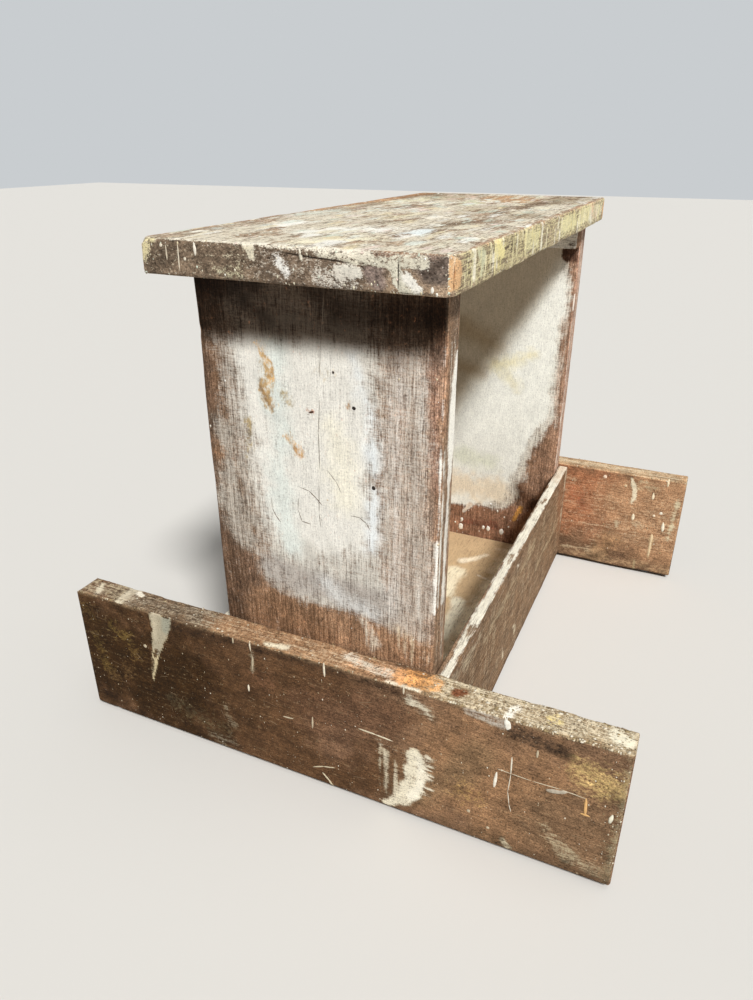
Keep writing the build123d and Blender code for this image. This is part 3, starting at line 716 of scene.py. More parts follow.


# Foot boards. Two heavy pine boards on edge across the ends, longer than the stool is wide, nailed
# to the panels so that it stands steady. They are dark with dirt, darker towards one end, partly dirt and
# partly painted shade, and carry drips from work above.

foot_outer = [
    # Darker towards one end: partly dirt, partly painted shade for light that falls off towards that end.
    ("wood", "#5a402a", 1.0, 30, [(259, 70, 90), (0, 60, 90)]),
    ("wood", "#36230f", 1.0, 40, [(259, 70, 70), (160, 60, 70)]),
    ("wood", "#7b5d47", 0.8, 18, [(-20, 60, 22), (-60, 100, 22)]),
    ("wood", "#937051", 1.0, 30, [(-130, 70, 50), (-190, 60, 60)]),
    ("wood", "#7b6047", 0.9, 20, [(-255, 50, 40), (-214, 40, 36)]),
    ("wood", "#7d6449", 0.7, 9, [(-100, 30, 8), (-150, 96, 14)]),
    ("wood", "#a38b6c", 0.5, 2.5, [(255, 140, 2), (-255, 140, 2)]),
    ("wood", "#644834", 0.7, 16, [(0, 90, 20), (-70, 100, 24)]),
    ("stain", "#6c572f", 0.55, 9, [(216, 108, 8), (198, 104, 8)]),
    ("stain", "#604c28", 0.5, 8, [(240, 92, 8), (232, 60, 7)]),
    ("stain", "#5c4728", 0.48, 9, [(250, 122, 8), (238, 116, 6)]),
    ("stain", "#634b2e", 0.45, 8, [(222, 42, 8), (204, 58, 7)]),
    ("paint", "#6f5e4a", 0.40, 5, [(256, 128, 3), (256, 12, 3)]),
    ("stain", "#5e4827", 0.5, 9, [(190, 84, 12)]),
    ("stain", "#4f4430", 0.45, 9, [(150, 40, 12), (110, 26, 12)]),
    ("paint", "#9d9078", 0.50, 5, [(91, 56, 3), (90, 46, 4), (84, 38, 4)]),
    ("paint", "#8d816c", 0.42, 6, [(112, 16, 5), (84, 12, 6)]),
    ("paint", "#b7a788", 0.46, 7, [(-204, 42, 5), (-222, 24, 9), (-250, 14, 9)]),
    ("stain", "#7a6c52", 0.45, 5, [(-257, 134, 4), (-256, 60, 5), (-255, 10, 6)]),
    ("paint", "#b3a588", 0.42, 4, [(-258, 128, 4), (-257, 12, 5)]),
    ("stain", "#634531", 0.45, 12, [(50, 104, 16)]),
    ("stain", "#22160f", 0.5, 10, [(245, 25, 10), (190, 10, 6)]),
    ("stain", "#5c4a35", 0.5, 8, [(92, 50, 5), (84, 36, 5)]),
    ("stain", "#3a2a1d", 0.55, 6, [(140, 132, 6), (0, 135, 4), (-80, 134, 5)]),
    ("stain", "#b79c68", 0.56, 11, [(-228, 114, 11), (-246, 106, 13)]),
    ("stain", "#9c7d4e", 0.36, 12, [(-142, 54, 12)]),
    ("stain", "#3d2f24", 0.65, 5, [(-176, 128, 7), (-212, 124, 6)]),
    ("stain", "#55422f", 0.34, 7, [(-68, 62, 8), (-72, 20, 8)]),
    ("stain", "#57432f", 0.6, 8, [(-255, 8, 8), (-120, 10, 6)]),
    ("paint", "#b0a58d", 1.0, 1.3, [(154, 141, 12), (157, 122, 9), (162, 106, 6.5), (167, 92, 4.5)]),
    ("paint", "#a3a08d", 1.0, 2.0, [(148, 136, 5), (150, 124, 4)]),
    ("paint", "#c2b69c", 1.0, 2.5, [(163, 138, 3), (164, 112, 3)]),
    ("wear", "#4a3825", 0.9, 1.0, [(152, 139.5, 2.0), (146, 138, 1.0)]),
    ("paint", "#c9b893", 0.95, 1.0, [(167, 92, 4.5), (171, 76, 3.2), (175, 58, 1.2)]),
    ("wear", "#5d4a33", 0.9, 1.0, [(165, 97, 3.2), (168, 89, 2.2)]),
    ("wear", "#54422e", 0.9, 0.9, [(171, 84, 1.8), (174, 68, 1.0)]),
    ("run", "#d5c8ae", 0.78, 6, [(-66, 68, 7), (-73, 46, 9), (-76, 24, 8)]),
    ("dry", "#e6dbc2", 0.75, 3, [(-60, 76, 3), (-84, 75, 4)]),
    ("paint", "#e9dfc6", 0.76, 3.0, [
        (-95, 73, 10), (-96, 58, 11), (-95, 44, 10), (-91, 31, 9), (-83, 19, 7), (-70, 9, 5)]),
    ("paint", "#f3ebd6", 1.05, 2.5, [(-98, 72, 3), (-102, 56, 4), (-100, 40, 3), (-93, 26, 3)]),
    ("dry", "#eadfc8", 0.8, 3.5, [(-106, 76, 6), (-107, 40, 5)]),
    ("paint", "#d9ceb6", 0.60, 5, [(-88, 130, 5), (-100, 126, 6), (-108, 118, 4)]),
    ("paint", "#b9ae9f", 0.62, 2.5, [(-138, 136, 4), (-150, 135, 4.5), (-164, 133, 4)]),
    ("paint", "#dacdae", 0.9, 2.5, [(-174, 13, 3), (-178, 8, 4)]),
    ("paint", "#a3967e", 0.6, 2, [(57, 132, 2), (58, 108, 2.5)]),
]
# The far foot board takes the near one's wood tints and stains, the painted shade towards one end among
# them.
far_foot_outer = [mark for mark in foot_outer if mark[0] in ("wood", "stain")] + [
    ("paint", "#c3b79c", 0.9, 2.5, [(-40, 141, 8), (-43, 118, 5), (-44, 92, 1.5)]),
    ("dry", "#d8ccb2", 0.6, 5, [(96, 44, 8), (150, 36, 6)]),
    ("paint", "#b3a58c", 0.5, 6, [(-120, 30, 8), (-150, 22, 7)]),
]
foot_inner = [
    ("wood", "#ad7654", 0.95, 18, [(-130, 94, 52), (-165, 96, 44)]),
    ("paint", "#c7ab8a", 0.30, 14, [(-105, 80, 50), (-250, 80, 50)]),
    ("wood", "#b38a67", 0.9, 18, [(-212, 86, 58), (-245, 80, 66)]),
    ("stain", "#9c7a58", 0.55, 10, [(-180, 45, 16), (-170, 25, 14)]),
    ("stain", "#967c5e", 0.5, 8, [(-255, 12, 9), (-99, 12, 9)]),
    ("wood", "#936a4e", 0.8, 12, [(-162, 60, 16), (-150, 42, 14)]),
    ("stain", "#8f4f34", 0.45, 9, [(-120, 100, 10), (-140, 84, 9)]),
    ("paint", "#d9c3a0", 0.5, 7, [(-120, 18, 6), (-150, 22, 6)]),
    ("paint", "#cdb695", 0.45, 9, [(-176, 62, 9), (-210, 66, 9)]),
    ("stain", "#ab9a7c", 0.5, 8, [(-205, 124, 9), (-226, 126, 6)]),
    ("paint", "#f0e2c4", 1.0, 1.6, [(-192, 136, 1.5), (-198, 122, 3.5), (-200, 110, 3.5), (-197, 101, 2)]),
    ("paint", "#cdb999", 0.75, 3, [(-183, 70, 5), (-183, 64, 4)]),
    ("paint", "#cfae86", 0.7, 2, [(-229, 58, 2), (-229, 26, 1.6)]),
    ("paint", "#d9cba9", 0.7, 4, [(-252, 110, 4), (-249, 60, 4)]),
    ("paint", "#c9bb92", 0.8, 1.6, [(-213, 17, 1.5), (-214, 4, 2)]),
]
foot_top = [
    ("wood", "#6f5c48", 0.9, 12, [(-250, 200, 20), (-250, 120, 20)]),
    ("wood", "#9f7b5a", 0.9, 16, [(-250, 80, 20), (-250, -40, 20)]),
    ("paint", "#cdb596", 0.34, 8, [(-250, 90, 12), (-250, -70, 12)]),
    ("paint", "#bfae90", 0.50, 7, [(-250, 245, 14), (-250, 196, 12)]),
    ("paint", "#dccfb4", 0.8, 3, [(-243, 240, 3), (-258, 232, 2)]),
    ("paint", "#d6cab0", 0.9, 3, [(-240, 203, 5), (-264, 203, 4)]),
    ("paint", "#b9aa92", 0.40, 8, [(-250, 190, 12), (-250, 110, 12)]),
    ("paint", "#efe6d2", 0.95, 1.5, [(-243, 195, 3), (-245, 189, 2.5)]),
    ("paint", "#e8dcc0", 0.95, 2, [(-260, 44, 2.5), (-257, 26, 3)]),
    ("stain", "#d59b60", 0.62, 5, [(-250, -84, 11), (-250, -102, 9)]),
    ("stain", "#c99a74", 0.36, 6, [(-252, -40, 9), (-252, -70, 9)]),
    ("paint", "#e6dcc8", 0.62, 3, [(-246, -28, 5), (-250, -40, 4), (-254, -66, 5)]),
    ("paint", "#e3d8c0", 0.85, 2, [(-262, -70, 2), (-262, -96, 2)]),
    ("wood", "#9d8767", 0.9, 6, [(-250, -114, 16), (-250, -255, 16)]),
    ("paint", "#dccdaf", 0.52, 6, [(-250, -112, 14), (-250, -255, 14)]),
    ("wear", "#7a4a30", 0.95, 1.5, [(-252, -124, 4.5), (-249, -129, 3)]),
    ("paint", "#f3ecdc", 1.0, 1.3, [(-263, -167, 3), (-252, -168, 3), (-250, -171, 3)]),
    ("stain", "#d8c37e", 0.45, 4, [(-250, -200, 6)]),
    ("paint", "#eee5cb", 0.95, 4, [(-246, -242, 7), (-252, -252, 5)]),
]
far_foot_top = [
    ("wood", "#b89672", 0.95, 12, [(-250, 255, 20), (-250, -255, 20)]),
    ("paint", "#dccbab", 0.42, 6, [(-250, 240, 12), (-250, -240, 12)]),
    ("stain", "#7d6246", 0.5, 2.5, [(-243, -255, 1.5), (-243, -110, 1.5)]),
]
foot_end = [
    ("stain", "#c8b391", 0.6, 5, [(-250, 136, 10)]),
    ("stain", "#6b543c", 0.6, 8, [(-250, 20, 12)]),
]
foot_runs = [
    ("#d3c6ab", 0.4, [(-44, 82.5, 0.6), (-60, 82, 1.1), (-75, 81, 0.6)]),
    ("#f6f0e2", 0.35, [(-167, 137.5, 2.4), (-168, 132, 3.0)]),
    ("#e6ddc9", 0.3, [
        (-173.5, 104, 0.7), (-174, 86, 0.45), (-173, 68, 0.35), (-175, 55, 0.3), (-177, 48, 0.3)]),
    ("#f1e9d8", 0.5, [(-163, 84, 1.0), (-162, 69, 1.7)]),
    ("#d3c6ac", 0.2, [
        (-163, 88, 0.3), (-174, 87.5, 0.35), (-190, 87, 0.3), (-212, 88, 0.35), (-232, 87, 0.3)]),
    ("#b9ad9a", 0.4, [(-203, 83, 2.0), (-212, 85, 2.2), (-216, 87, 1.4)]),
    ("#dcae72", 0.5, [(-231, 87, 1.1), (-232, 71, 1.5)]),
    ("#dcae72", 0.5, [(-229, 71, 0.9), (-235, 71, 0.9)]),
    ("#ece6cf", 0.5, [(-251, 79, 1.1), (-250, 72, 1.9)]),
    ("#d9ccb3", 0.4, [(59, 139, 0.9), (58.5, 130, 0.7)]),
    ("#b5a68b", 0.4, [(57, 124, 1.2), (58, 110, 0.9)]),
    ("#e0d4bc", 0.5, [(-13, 140, 1.0), (-13.5, 127, 1.1)]),
    ("#e0d4bc", 0.5, [(64, 91, 0.9), (64, 85, 1.2)]),
    ("#d3c6ad", 0.4, [(-84, 140, 0.9), (-84, 134, 0.8)]),
    ("#c9bb9d", 0.4, [(2, 20, 0.5), (-9, 25, 0.8), (-20, 28, 0.5)]),
    ("#c9bb9d", 0.4, [(-8, 17, 0.7), (-14, 11, 1.2), (-18, 5, 0.9)]),
    *[("#bfb094", 0.4, path) for path in (
        [(30, 68, 0.6), (20, 69, 0.8)], [(0, 78, 0.7), (0.5, 66, 0.9)], [(-143, 33, 1.6)],
        [(-160, 22, 1.4)], [(-192, 118, 0.9), (-192, 112, 0.9)], [(178, 98, 2.0)])],
    ("#b5a68b", 0.4, [(76, 138, 0.8), (76, 133, 0.8)]),
]
foot_inner_runs = [
    ("#f4e6c8", 0.6, [(-202, 84, 1.6), (-202, 78, 2.4)]),
    ("#f4ead2", 0.6, [(-240, 80, 1.2), (-240.5, 70, 2.8)]),
    ("#f0e0c0", 0.5, [(-222, 119, 0.9), (-222, 112, 2.2)]),
    ("#f4ead6", 0.5, [(-235, 93, 2.0)]),
    ("#f0dfc4", 0.5, [(-227, 88, 1.8)]),
    ("#f0d9c0", 0.5, [(-160, 131, 2.4)]),
    ("#e3cba4", 0.5, [(-187, 123, 1.8)]),
    ("#ecd9b6", 0.5, [(-237, 140, 1.2), (-237, 132, 1.8)]),
    ("#dfc7a0", 0.5, [(-229, 60, 1.6), (-229, 50, 2.0), (-229, 28, 1.2)]),
]
foot_specks = ("#cfc2a8", "#b5a386", "#a08b6c", "#e6dcc6", "#8f7a5e", "#98845f")
scratch_tints = ("#7d6850", "#8f7a5e", "#6f5a43")
scratch_count = 40
foot_finish = worn_paint(
    "dirty_pine_foot_board", lines=0.22, scuff=0.4, fleck=0.45, tear=3.8, crisp=0.28, pits=0.9)
for end, seed in (("left", 61), ("right", 73)):
    foot = Board(f"{end}_foot", f"{end}_foot_board", "Y", 1.9, 2.4, "#7a5e47", seed, end == "right")
    outer_way, inner_way = ("-X", "+X") if end == "left" else ("+X", "-X")
    across = 1 if end == "left" else -1
    foot.coat[:] = 0.06
    foot.paint[:] = linear("#9f8b69")[:3]
    foot.brush(outer_way, foot_outer if end == "left" else far_foot_outer, across)
    foot.brush(inner_way, foot_inner, -across)
    foot.brush("+Z", foot_top if end == "left" else far_foot_top, across)
    foot.brush("-Y", foot_end, across)
    foot.brush("+Y", foot_end, across)
    foot.round_off(("+Y", "+Z"), 7.0)
    foot.round_off(("+Y", "-Z"), 9.0)
    foot.round_off((outer_way, "+Y"), 4.0)
    foot.round_off((outer_way, "-Y"), 5.0)
    foot.round_off((outer_way, "-Z"), 4.5)
    foot.lay(foot_finish, "foot_board_wood")
    drips = Drips(f"{end}_foot_drips", foot, seed + 9)
    for colour, proud, path in foot_runs if end == "left" else foot_inner_runs:
        drips.run("-X", path, proud, colour)
    for index in range(scratch_count):
        u, v = drips.chance.uniform(-245, 245), drips.chance.uniform(12, 130)
        length = drips.chance.uniform(3, 14)
        slant = drips.chance.normal(0, 0.25) if index % 3 else drips.chance.normal(1.4, 0.3)
        tip = (u + length * math.cos(slant), float(np.clip(v + length * math.sin(slant), 8, 134)), 0.1)
        scratch = [(u, v, 0.1), ((u + tip[0]) / 2, (v + tip[1]) / 2, 0.2), tip]
        drips.run(outer_way, scratch, 0.1, scratch_tints[index % 3], across)
    drips.specks(outer_way, 760, foot_specks, 0.2, 0.8)
    drips.specks(outer_way, 110, foot_specks, 0.25, 0.8, (-259, -244, 8, 137))
    drips.specks(inner_way, 200, foot_specks, 0.4, 1.4)
    drips.specks("+Z", 260, foot_specks, 0.4, 1.3)
    if end == "left":
        drips.specks("+Z", 700, foot_specks, 0.5, 1.5, (-270, 270, -255, -105))
    drips.lay(drip_finish, "foot_board_wood")


# Cleats. Square pine battens under the ends of the top, nailed to the panels and up into the top.
# They are painted as the panels are, and dirty where hands take hold.

cleat_face = [
    ("paint", "#d9d3c4", 0.8, 8, [(-99, 428, 20), (99, 428, 20)]),
    ("stain", "#5b4738", 0.6, 5, [(-95, 420, 8)]),
]
for end, seed in (("left", 81), ("right", 83)):
    cleat = Board(f"{end}_batten", f"{end}_cleat", "Y", 2.4, 1.5, "#8a6a50", seed, True)
    cleat.brush("+X" if end == "left" else "-X", cleat_face)
    cleat.lay(panel_finish, "cleat_paint")


# Top board. One wide pine plank that is stood, sat and painted on, nailed down into the panels.
# Many coats in cream, white, grey-green and pink have worn and flaked away in patches.

top_end = [
    ("wood", "#675849", 0.9, 14, [(100, 454, 20), (40, 454, 20)]),
    ("wood", "#746353", 0.9, 12, [(10, 454, 20), (-50, 454, 20)]),
    ("wood", "#5f544d", 0.9, 4, [(-98, 458, 10), (-112, 458, 10)]),
    ("paint", "#cabfae", 0.29, 8, [(34, 454, 14), (-62, 454, 14)]),
    ("paint", "#d0c5aa", 0.14, 8, [(110, 454, 14), (40, 454, 14)]),
    ("paint", "#d8cba0", 0.66, 2.5, [(107, 463, 4), (115, 452, 3)]),
    ("paint", "#e2d8bf", 1.0, 1.3, [(28, 467, 5), (26, 455, 3)]),
    ("paint", "#e8e4dc", 0.7, 2.5, [(6, 454, 4), (0, 449, 4)]),
    ("paint", "#c9c0a0", 0.45, 4, [(55, 446, 4), (35, 447, 5)]),
    ("paint", "#e2dac4", 0.68, 2.5, [(-24, 464, 3), (-55, 463, 5)]),
    ("paint", "#dcd6c8", 0.85, 2, [(-38, 453, 4), (-51, 452, 4.5)]),
    ("paint", "#d6cec0", 0.55, 4, [(-24, 447, 5), (-48, 445, 5)]),
    ("paint", "#d3ccb8", 0.72, 2.5, [(-56, 464, 5), (-64, 462, 6), (-76, 463, 5), (-92, 464, 5)]),
    ("paint", "#d6d0bc", 0.85, 1.6, [(-76, 462, 4), (-77, 450, 5), (-84, 444, 6)]),
    ("paint", "#efeade", 1.0, 1.2, [(-84, 452, 3), (-90, 445, 3)]),
    ("stain", "#3c322b", 0.6, 2, [(-95, 454, 3), (-104, 462, 3)]),
    ("wear", "#83736a", 0.95, 1.6, [(-57, 453, 4), (-64, 447, 5.5)]),
    ("wear", "#83736a", 0.90, 1.4, [(-57, 457, 2), (-66, 456, 1.5)]),
    ("paint", "#e9e0cc", 0.64, 2.5, [(92, 465.5, 1.8), (-56, 465.5, 1.8)]),
    ("wear", "#a98a78", 0.5, 2.0, [(-62, 466, 1.5), (-105, 466, 1.5)]),
    ("stain", "#1d1612", 1.0, 0.8, [(-14, 459.2, 1.4)]),
    ("stain", "#2a201b", 0.9, 0.8, [(-53.5, 457, 1.2)]),
    ("stain", "#4b3f36", 0.5, 2.5, [(112, 442, 1.5), (-112, 442, 1.5)]),
]
top_front = [
    ("wood", "#a5967a", 0.9, 10, [(-240, 454, 20), (240, 454, 20)]),
    ("paint", "#d2c598", 0.48, 8, [(-250, 454, 20), (250, 454, 20)]),
    ("wood", "#8f8166", 0.8, 8, [(-206, 455, 9), (-112, 455, 9)]),
    ("wood", "#a8957f", 0.8, 8, [(-34, 455, 9), (16, 455, 9)]),
    ("paint", "#f2ead2", 1.4, 1.0, [(-232, 467, 4), (-231, 456, 3.2), (-230, 449, 4.0)]),
    ("paint", "#cbc9a8", 0.85, 3, [(-222, 463, 5), (-212, 458, 5), (-214, 449, 4)]),
    ("paint", "#f0e4ac", 1.4, 1.6, [(-185, 467, 3), (-183, 444, 2.4)]),
    ("paint", "#eadd9f", 0.95, 3.0, [(-177, 461, 7), (-166, 456, 6)]),
    ("paint", "#ede3b2", 1.4, 1.4, [(-104, 467, 3), (-103, 450, 2.2)]),
    ("paint", "#e2d8a8", 0.8, 4.0, [(-90, 456, 8), (-64, 455, 8)]),
    ("paint", "#f0ead4", 1.2, 2.5, [(-52, 467, 3), (-50, 446, 3)]),
    ("paint", "#e3d9a8", 0.8, 6.0, [(36, 455, 9), (88, 456, 9)]),
    ("paint", "#e8deae", 0.88, 5.0, [(112, 455, 9), (166, 456, 9)]),
    ("paint", "#f0e9d2", 0.95, 4, [(168, 452, 5), (184, 448, 5)]),
    ("paint", "#e3d8b8", 0.7, 6, [(190, 452, 8), (244, 455, 8)]),
    ("stain", "#c29a7a", 0.45, 6, [(180, 460, 6), (212, 448, 5)]),
    ("stain", "#d9ab7c", 0.7, 4, [(258, 454, 9), (268, 450, 9)]),
    ("paint", "#d0a77c", 0.86, 2, [(-267, 454, 12), (-262, 454, 10)]),
    ("paint", "#f0dcbc", 0.95, 1.0, [(-264.5, 463, 1.2), (-264.5, 455, 0.9)]),
    ("stain", "#a97443", 0.7, 1.2, [(-262, 460, 0.8), (-262, 444, 0.9)]),
    ("stain", "#8d7a60", 0.45, 3, [(-250, 442, 1.5), (250, 442, 1.5)]),
    ("stain", "#b98a68", 0.42, 3, [(-250, 465.5, 1.4), (240, 465.5, 1.4)]),
]
front_tints = ("#efe6c6", "#e6dba6", "#e9dfb6", "#d9d0a4", "#f0ead8", "#cfc49a", "#b8a982", "#e2d49a")
top_end_runs = [
    ("#d8ccb6", 0.3, [(84, 463, 0.5), (84.5, 445, 0.6)]),
    ("#cdbfa8", 0.3, [(94, 461, 0.5), (94, 452, 0.7)]),
    ("#ece3d2", 0.5, [(70.5, 464, 0.6), (70, 457, 1.6)]),
    ("#e0d5c0", 0.4, [(98, 461, 1.3)]),
    ("#e0d5c0", 0.4, [(79, 453, 1.1)]),
    ("#f0ebde", 0.4, [(-99, 446.5, 0.8), (-99, 444.6, 1.2)]),
    ("#e9e1cd", 0.4, [(-10, 464, 0.7), (-11, 458, 1.2)]),
]
top_face = [
    ("paint", "#f4f0e4", 1.0, 10, [(-190, 64, 8), (-140, 70, 9)]),
    ("paint", "#f0ecdf", 0.95, 14, [(-190, 20, 20), (-160, -8, 20)]),
    ("paint", "#e3e8e4", 0.9, 8, [(-182, -48, 9), (-150, -50, 9)]),
    ("paint", "#efe6c8", 0.9, 12, [(-250, -4, 14), (-216, -30, 12)]),
    ("paint", "#f0e8d4", 0.9, 12, [(-60, -20, 8), (10, -28, 8), (-6, -68, 7)]),
    ("paint", "#e8deb8", 0.85, 12, [(-70, 14, 8), (-20, 8, 8)]),
    ("paint", "#d5dacb", 0.85, 12, [(-80, 96, 8), (-20, 92, 10)]),
    ("paint", "#e6dfbe", 0.85, 16, [(80, 84, 12), (170, 66, 18)]),
    ("paint", "#dcdeba", 0.85, 10, [(84, -2, 8), (150, 10, 8)]),
    ("paint", "#e4dcc6", 0.80, 14, [(90, 36, 12), (200, 48, 12)]),
    ("wear", "#9b8672", 0.55, 10, [(-262, 100, 8), (-110, 100, 9)]),
    ("wear", "#a38e76", 0.50, 8, [(-236, 50, 9), (-214, 44, 8)]),
    ("wear", "#93877b", 0.55, 10, [(24, 56, 8), (70, 40, 9)]),
    ("wear", "#9f8e7a", 0.30, 9, [(-118, 6, 9), (-100, 0, 8)]),
    ("wear", "#988772", 0.55, 10, [(-116, -46, 7), (-60, -62, 8), (60, -52, 9), (150, -66, 10)]),
    ("wear", "#a89582", 0.50, 12, [(20, 92, 6), (90, 84, 7)]),
    ("wear", "#c59c74", 0.74, 14, [(160, -30, 26), (214, -14, 30)]),
    ("soot", "#b9ad9f", 0.8, 9, [(60, -60, 7), (170, -67, 10)]),
    ("soot", "#b5aba0", 0.5, 9, [(14, 54, 8), (66, 36, 11)]),
    ("soot", "#b3a697", 0.3, 9, [(-122, 8, 10), (-98, 0, 9)]),
    ("soot", "#bbb0a2", 0.7, 9, [(-132, -46, 8), (-74, -62, 9)]),
    ("soot", "#bdb1a4", 0.7, 10, [(-16, 84, 8), (70, 92, 8)]),
    ("soot", "#c4b8a8", 0.7, 12, [(190, 70, 9), (250, 84, 9)]),
    ("soot", "#bfb3a4", 0.7, 10, [(-30, -84, 9), (30, -74, 8)]),
    ("stain", "#d3ad9c", 0.42, 10, [(180, 30, 7), (226, 30, 8)]),
    ("paint", "#ebe3d0", 0.80, 4, [(-266, 90, 4), (-266, -52, 4)]),
    ("wear", "#b28a6c", 0.50, 3, [(-268, -62, 3), (-268, -104, 3)]),
    ("wear", "#b28a6c", 0.60, 4, [(-260, -110, 3), (260, -110, 3)]),
    ("wear", "#b28a6c", 0.60, 4, [(-260, 114, 3), (260, 114, 3)]),
]
top_dirt = [
    ("wear", "#bb9068", 0.75, 8, [(-30, 109, 5), (120, 107, 9), (250, 104, 11)]),
    ("soot", "#c0b5a7", 0.9, 18, [(156, -76, 20), (262, -76, 24)]),
    ("soot", "#cabfb1", 0.8, 16, [(168, 100, 14), (262, 90, 18)]),
    ("soot", "#d8cec1", 0.8, 16, [(160, 48, 20), (256, 52, 20)]),
    ("soot", "#d6ccbf", 0.8, 14, [(-10, -24, 12), (80, -26, 12)]),
    ("soot", "#d8cec1", 0.7, 12, [(-14, -88, 10), (20, -86, 10)]),
]
top_tints = ("#ece6d5", "#e6dcc2", "#e0d7be", "#dcded0", "#cdd2bf", "#e2cfc0", "#dccdaa", "#eeeade")
worn_tints = ("#a38d77", "#9c8a76", "#b59c82", "#ada28e", "#93806d", "#bf9c7a")
blot_count, fall_count = 640, 110
top_finish = worn_paint(
    "many_coats_on_pine", lines=0.3, scuff=0.15, fleck=0.5, tear=4.2, crisp=0.2, pits=0.6)
top = Board("top", "top_board", "X", 2.0, 2.6, "#a38c74", 91)
chance = np.random.default_rng(97)
top.brush("+Z", [("paint", "#ddd3bd", 0.66, 10, [(-260, 2, 130), (260, 2, 130)])])
top.brush("+Z", top_face)
blots = []
for index in range(blot_count):
    u, v = chance.uniform(-265, 265), chance.uniform(-110, 114)
    length, width = chance.uniform(3, 26), chance.uniform(1.0, 3.0) + 5 * chance.random() ** 3
    path = [(u - length / 2, v, width * 0.6), (u + length / 2, v + chance.uniform(-2, 2), width)]
    if index % 5 in (1, 3):
        blots.append(("wear", worn_tints[index % len(worn_tints)], chance.uniform(0.2, 0.6), 3.0, path))
    else:
        blots.append(("paint", top_tints[index % len(top_tints)], chance.uniform(0.55, 0.9), 3.0, path))
top.brush("+Z", blots)
top.brush("+Z", top_dirt)
for way, flip in (("-X", 1), ("+X", -1)):
    top.brush(way, top_end, flip)
for way, flip in (("-Y", 1), ("+Y", -1)):
    top.brush(way, top_front, flip)
    falls = []
    for index in range(fall_count):
        u, start = chance.uniform(-250, 250), chance.uniform(450, 467)
        length, width = chance.uniform(3, 20), chance.uniform(0.5, 2.2)
        path = [(u, start, width), (u + chance.uniform(-1.5, 1.5), start - length, width * 0.6)]
        falls.append(("paint", front_tints[index % len(front_tints)], chance.uniform(0.8, 1.3), 1.0, path))
    top.brush(way, falls, flip)
top.crack("-X", [(12, 462.5), (-14, 460.0), (-54, 457)], 0.8)
top.crack("-X", [(-77, 441), (-77, 465)], 0.6)
top.crack("-Y", [(-264, 442), (-263.5, 464)], 0.5, "#6b4a30")

# The corners as on the CAD board, clipped in front and rounded behind, and one knocked off above
top.round_off(("-X", "-Y"), 10.0, "clip")
top.round_off(("+X", "-Y"), 11.0, "clip")
top.round_off(("-X", "+Y"), 3.0)
top.round_off(("+X", "+Y"), 9.0)
top.round_off(("-X", "+Y", "+Z"), 8.0, "clip")
top.lay(top_finish, "top_board_paint")
top_drips = Drips("top_drips", top, 98)
for way, flip in (("-X", 1), ("+X", -1)):
    for colour, proud, path in top_end_runs:
        top_drips.run(way, path, proud, colour, flip)
    top_drips.specks(way, 140, top_tints, 0.3, 1.0)
for way in ("-Y", "+Y"):
    top_drips.specks(way, 160, top_tints, 0.3, 1.0)
top_drips.specks("+Z", 500, top_tints, 0.4, 1.6)
top_drips.lay(drip_finish, "top_board_paint")


# Nails. Wire nails gone brown with rust, driven just below the faces at every joint of the stool.
# Most heads lie under paint or felt; those in the back rail, the cleats and the right foot board show.

# Rusted mild steel: dark brown with orange-brown spots, dull, with no metal shine left
rusty_steel, tree, shader = new_finish("rusty_nail_steel")
rust_spot = 1.5
place = add(tree, "TexCoord", {}, {}).outputs["Object"]
rust = add(tree, "TexNoise", {}, {"Vector": place, "Scale": 1000 / rust_spot, "Detail": 5.0})
rust_colour = add(tree, "Mix", {"data_type": "RGBA"}, {
    "Factor": add(tree, "MapRange", {}, {0: rust, 1: 0.4, 2: 0.6}),
    "A": linear("#3a2a22"), "B": linear("#7a4527")})
tree.links.new(result(rust_colour), shader.inputs["Base Color"])
shader.inputs["Roughness"].default_value = 0.8
for name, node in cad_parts.items():
    if name.endswith("_nails"):
        node.data.materials.clear()
        node.data.materials.append(rusty_steel)


# Pads. Round glides punched from grey pressed felt, one under each end of the foot boards, each held
# by a small nail. They are squashed a little at the rim and fuzzy all round.

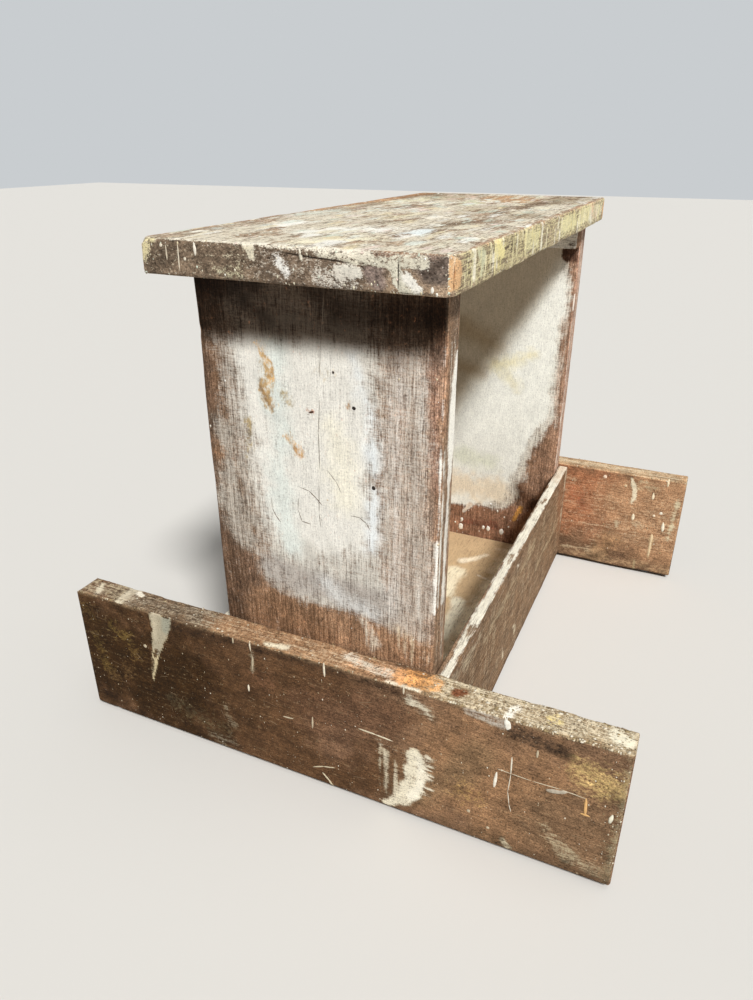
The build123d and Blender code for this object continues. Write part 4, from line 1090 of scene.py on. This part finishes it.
# Pressed wool felt: matt grey in lighter and darker tufts, drawn coarser than its fibres so that they show
felt, tree, shader = new_finish("grey_felt")
tuft_size = 0.8
place = add(tree, "TexCoord", {}, {}).outputs["Object"]
fuzz = add(tree, "TexNoise", {}, {"Vector": place, "Scale": 1000 / tuft_size, "Detail": 6.0})
felt_colour = add(tree, "Mix", {"data_type": "RGBA"}, {
    "Factor": fuzz, "A": linear("#3a3d41"), "B": linear("#75797d")})
tree.links.new(result(felt_colour), shader.inputs["Base Color"])
shader.inputs["Roughness"].default_value = 0.95
tufts = add(tree, "Bump", {}, {"Height": fuzz, "Strength": 0.8, "Distance": 0.0004})
tree.links.new(tufts.outputs["Normal"], shader.inputs["Normal"])
pad_radius, pad_height, rim_round = 8.4, 3.9, 0.7
for end, side in itertools.product(("left", "right"), ("front", "back")):
    low, high = (np.array(corner) * 1000 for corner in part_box(f"{end}_{side}_pad"))
    bm = bmesh.new()
    bmesh.ops.create_cone(
        bm, cap_ends=True, segments=48, radius1=pad_radius, radius2=pad_radius, depth=pad_height)
    rim = [edge for edge in bm.edges if abs(edge.verts[0].co.z - edge.verts[1].co.z) < 0.1]
    bmesh.ops.bevel(
        bm, geom=rim, offset=rim_round, offset_type="OFFSET", affect="EDGES",
        segments=3, profile=0.5, material=-1)
    caps = [face for face in bm.faces if len(face.verts) > 4]
    bmesh.ops.inset_region(bm, faces=caps, thickness=2.5)
    places = np.array([vert.co for vert in bm.verts])
    shrink = 1 - 0.02 * (1 + waver(places + 40 * len(end + side), 3.0, 7))
    centre = Vector((low + high) / 2)
    for vert, scale in zip(bm.verts, shrink):
        vert.co = (Vector((vert.co.x * scale, vert.co.y * scale, vert.co.z)) + centre) / 1000
    pad = placed(f"{end}_{side}_glide", bm)
    pad.data.materials.append(felt)
    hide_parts(f"{end}_{side}_pad")
    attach(pad, "root")


# Floor, light and camera. A pale floor and a plain backdrop, with a soft key light from the left and
# front, a weak light from overhead and an even fill. The camera stands near the stool's left end.

bm = bmesh.new()
bmesh.ops.create_grid(bm, x_segments=1, y_segments=1, size=8.0)
floor = placed("floor", bm)
floor_paint, _, shader = new_finish("pale_floor")
shader.inputs["Base Color"].default_value = linear("#cfccc6")
shader.inputs["Roughness"].default_value = 0.9
floor.data.materials.append(floor_paint)
floor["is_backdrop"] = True

# Each lamp by the way towards it, its level and its spread in degrees
lamps = {"key": ((-0.66, -0.60, 1.0), 1.25, 10.0), "overhead": ((0.0, -0.32, 1.0), 0.16, 40.0)}
for name, (way, level, spread) in lamps.items():
    lamp = bpy.data.lights.new(name, "SUN")
    lamp.angle = math.radians(spread)
    lamp.energy = level * math.pi
    lamp_stand = bpy.data.objects.new(name, lamp)
    lamp_stand.location = Vector(way) * 2.0
    lamp_stand.rotation_mode = "QUATERNION"
    lamp_stand.rotation_quaternion = (-Vector(way)).to_track_quat("-Z", "Y")
    scene.collection.objects.link(lamp_stand)

world = bpy.data.worlds.new("studio")
world.use_nodes = True
tree = world.node_tree
fill = tree.nodes["Background"]
fill.inputs["Color"].default_value = linear("#e9edf0")
fill.inputs["Strength"].default_value = 0.19
backdrop = add(tree, "Background", {}, {"Color": linear("#c9cdd0"), "Strength": 1.0})
rays = add(tree, "LightPath", {}, {})
seen = rays.outputs["Is Camera Ray"]
for kind in ("Is Glossy Ray", "Is Transmission Ray"):
    seen = add(tree, "Math", {"operation": "MAXIMUM"}, {0: seen, 1: rays.outputs[kind]})
shown = add(tree, "MixShader", {}, {0: seen, 1: fill, 2: backdrop})
tree.links.new(shown.outputs[0], tree.nodes["World Output"].inputs["Surface"])
scene.world = world

camera_yaw = math.radians(24.49)
camera_pitch = math.radians(25.87)
camera = bpy.data.cameras.new("camera")
camera.sensor_width = 36.0
camera.lens = 26.65
camera_stand = bpy.data.objects.new("camera", camera)
camera_stand.location = (-0.6884, -0.2541, 0.5246)
look = Vector((
    math.cos(camera_yaw) * math.cos(camera_pitch),
    math.sin(camera_yaw) * math.cos(camera_pitch),
    -math.sin(camera_pitch),
))
camera_stand.rotation_mode = "QUATERNION"
camera_stand.rotation_quaternion = look.to_track_quat("-Z", "Y")
scene.collection.objects.link(camera_stand)
scene.camera = camera_stand

scene.view_settings.view_transform = "Standard"
low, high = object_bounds()
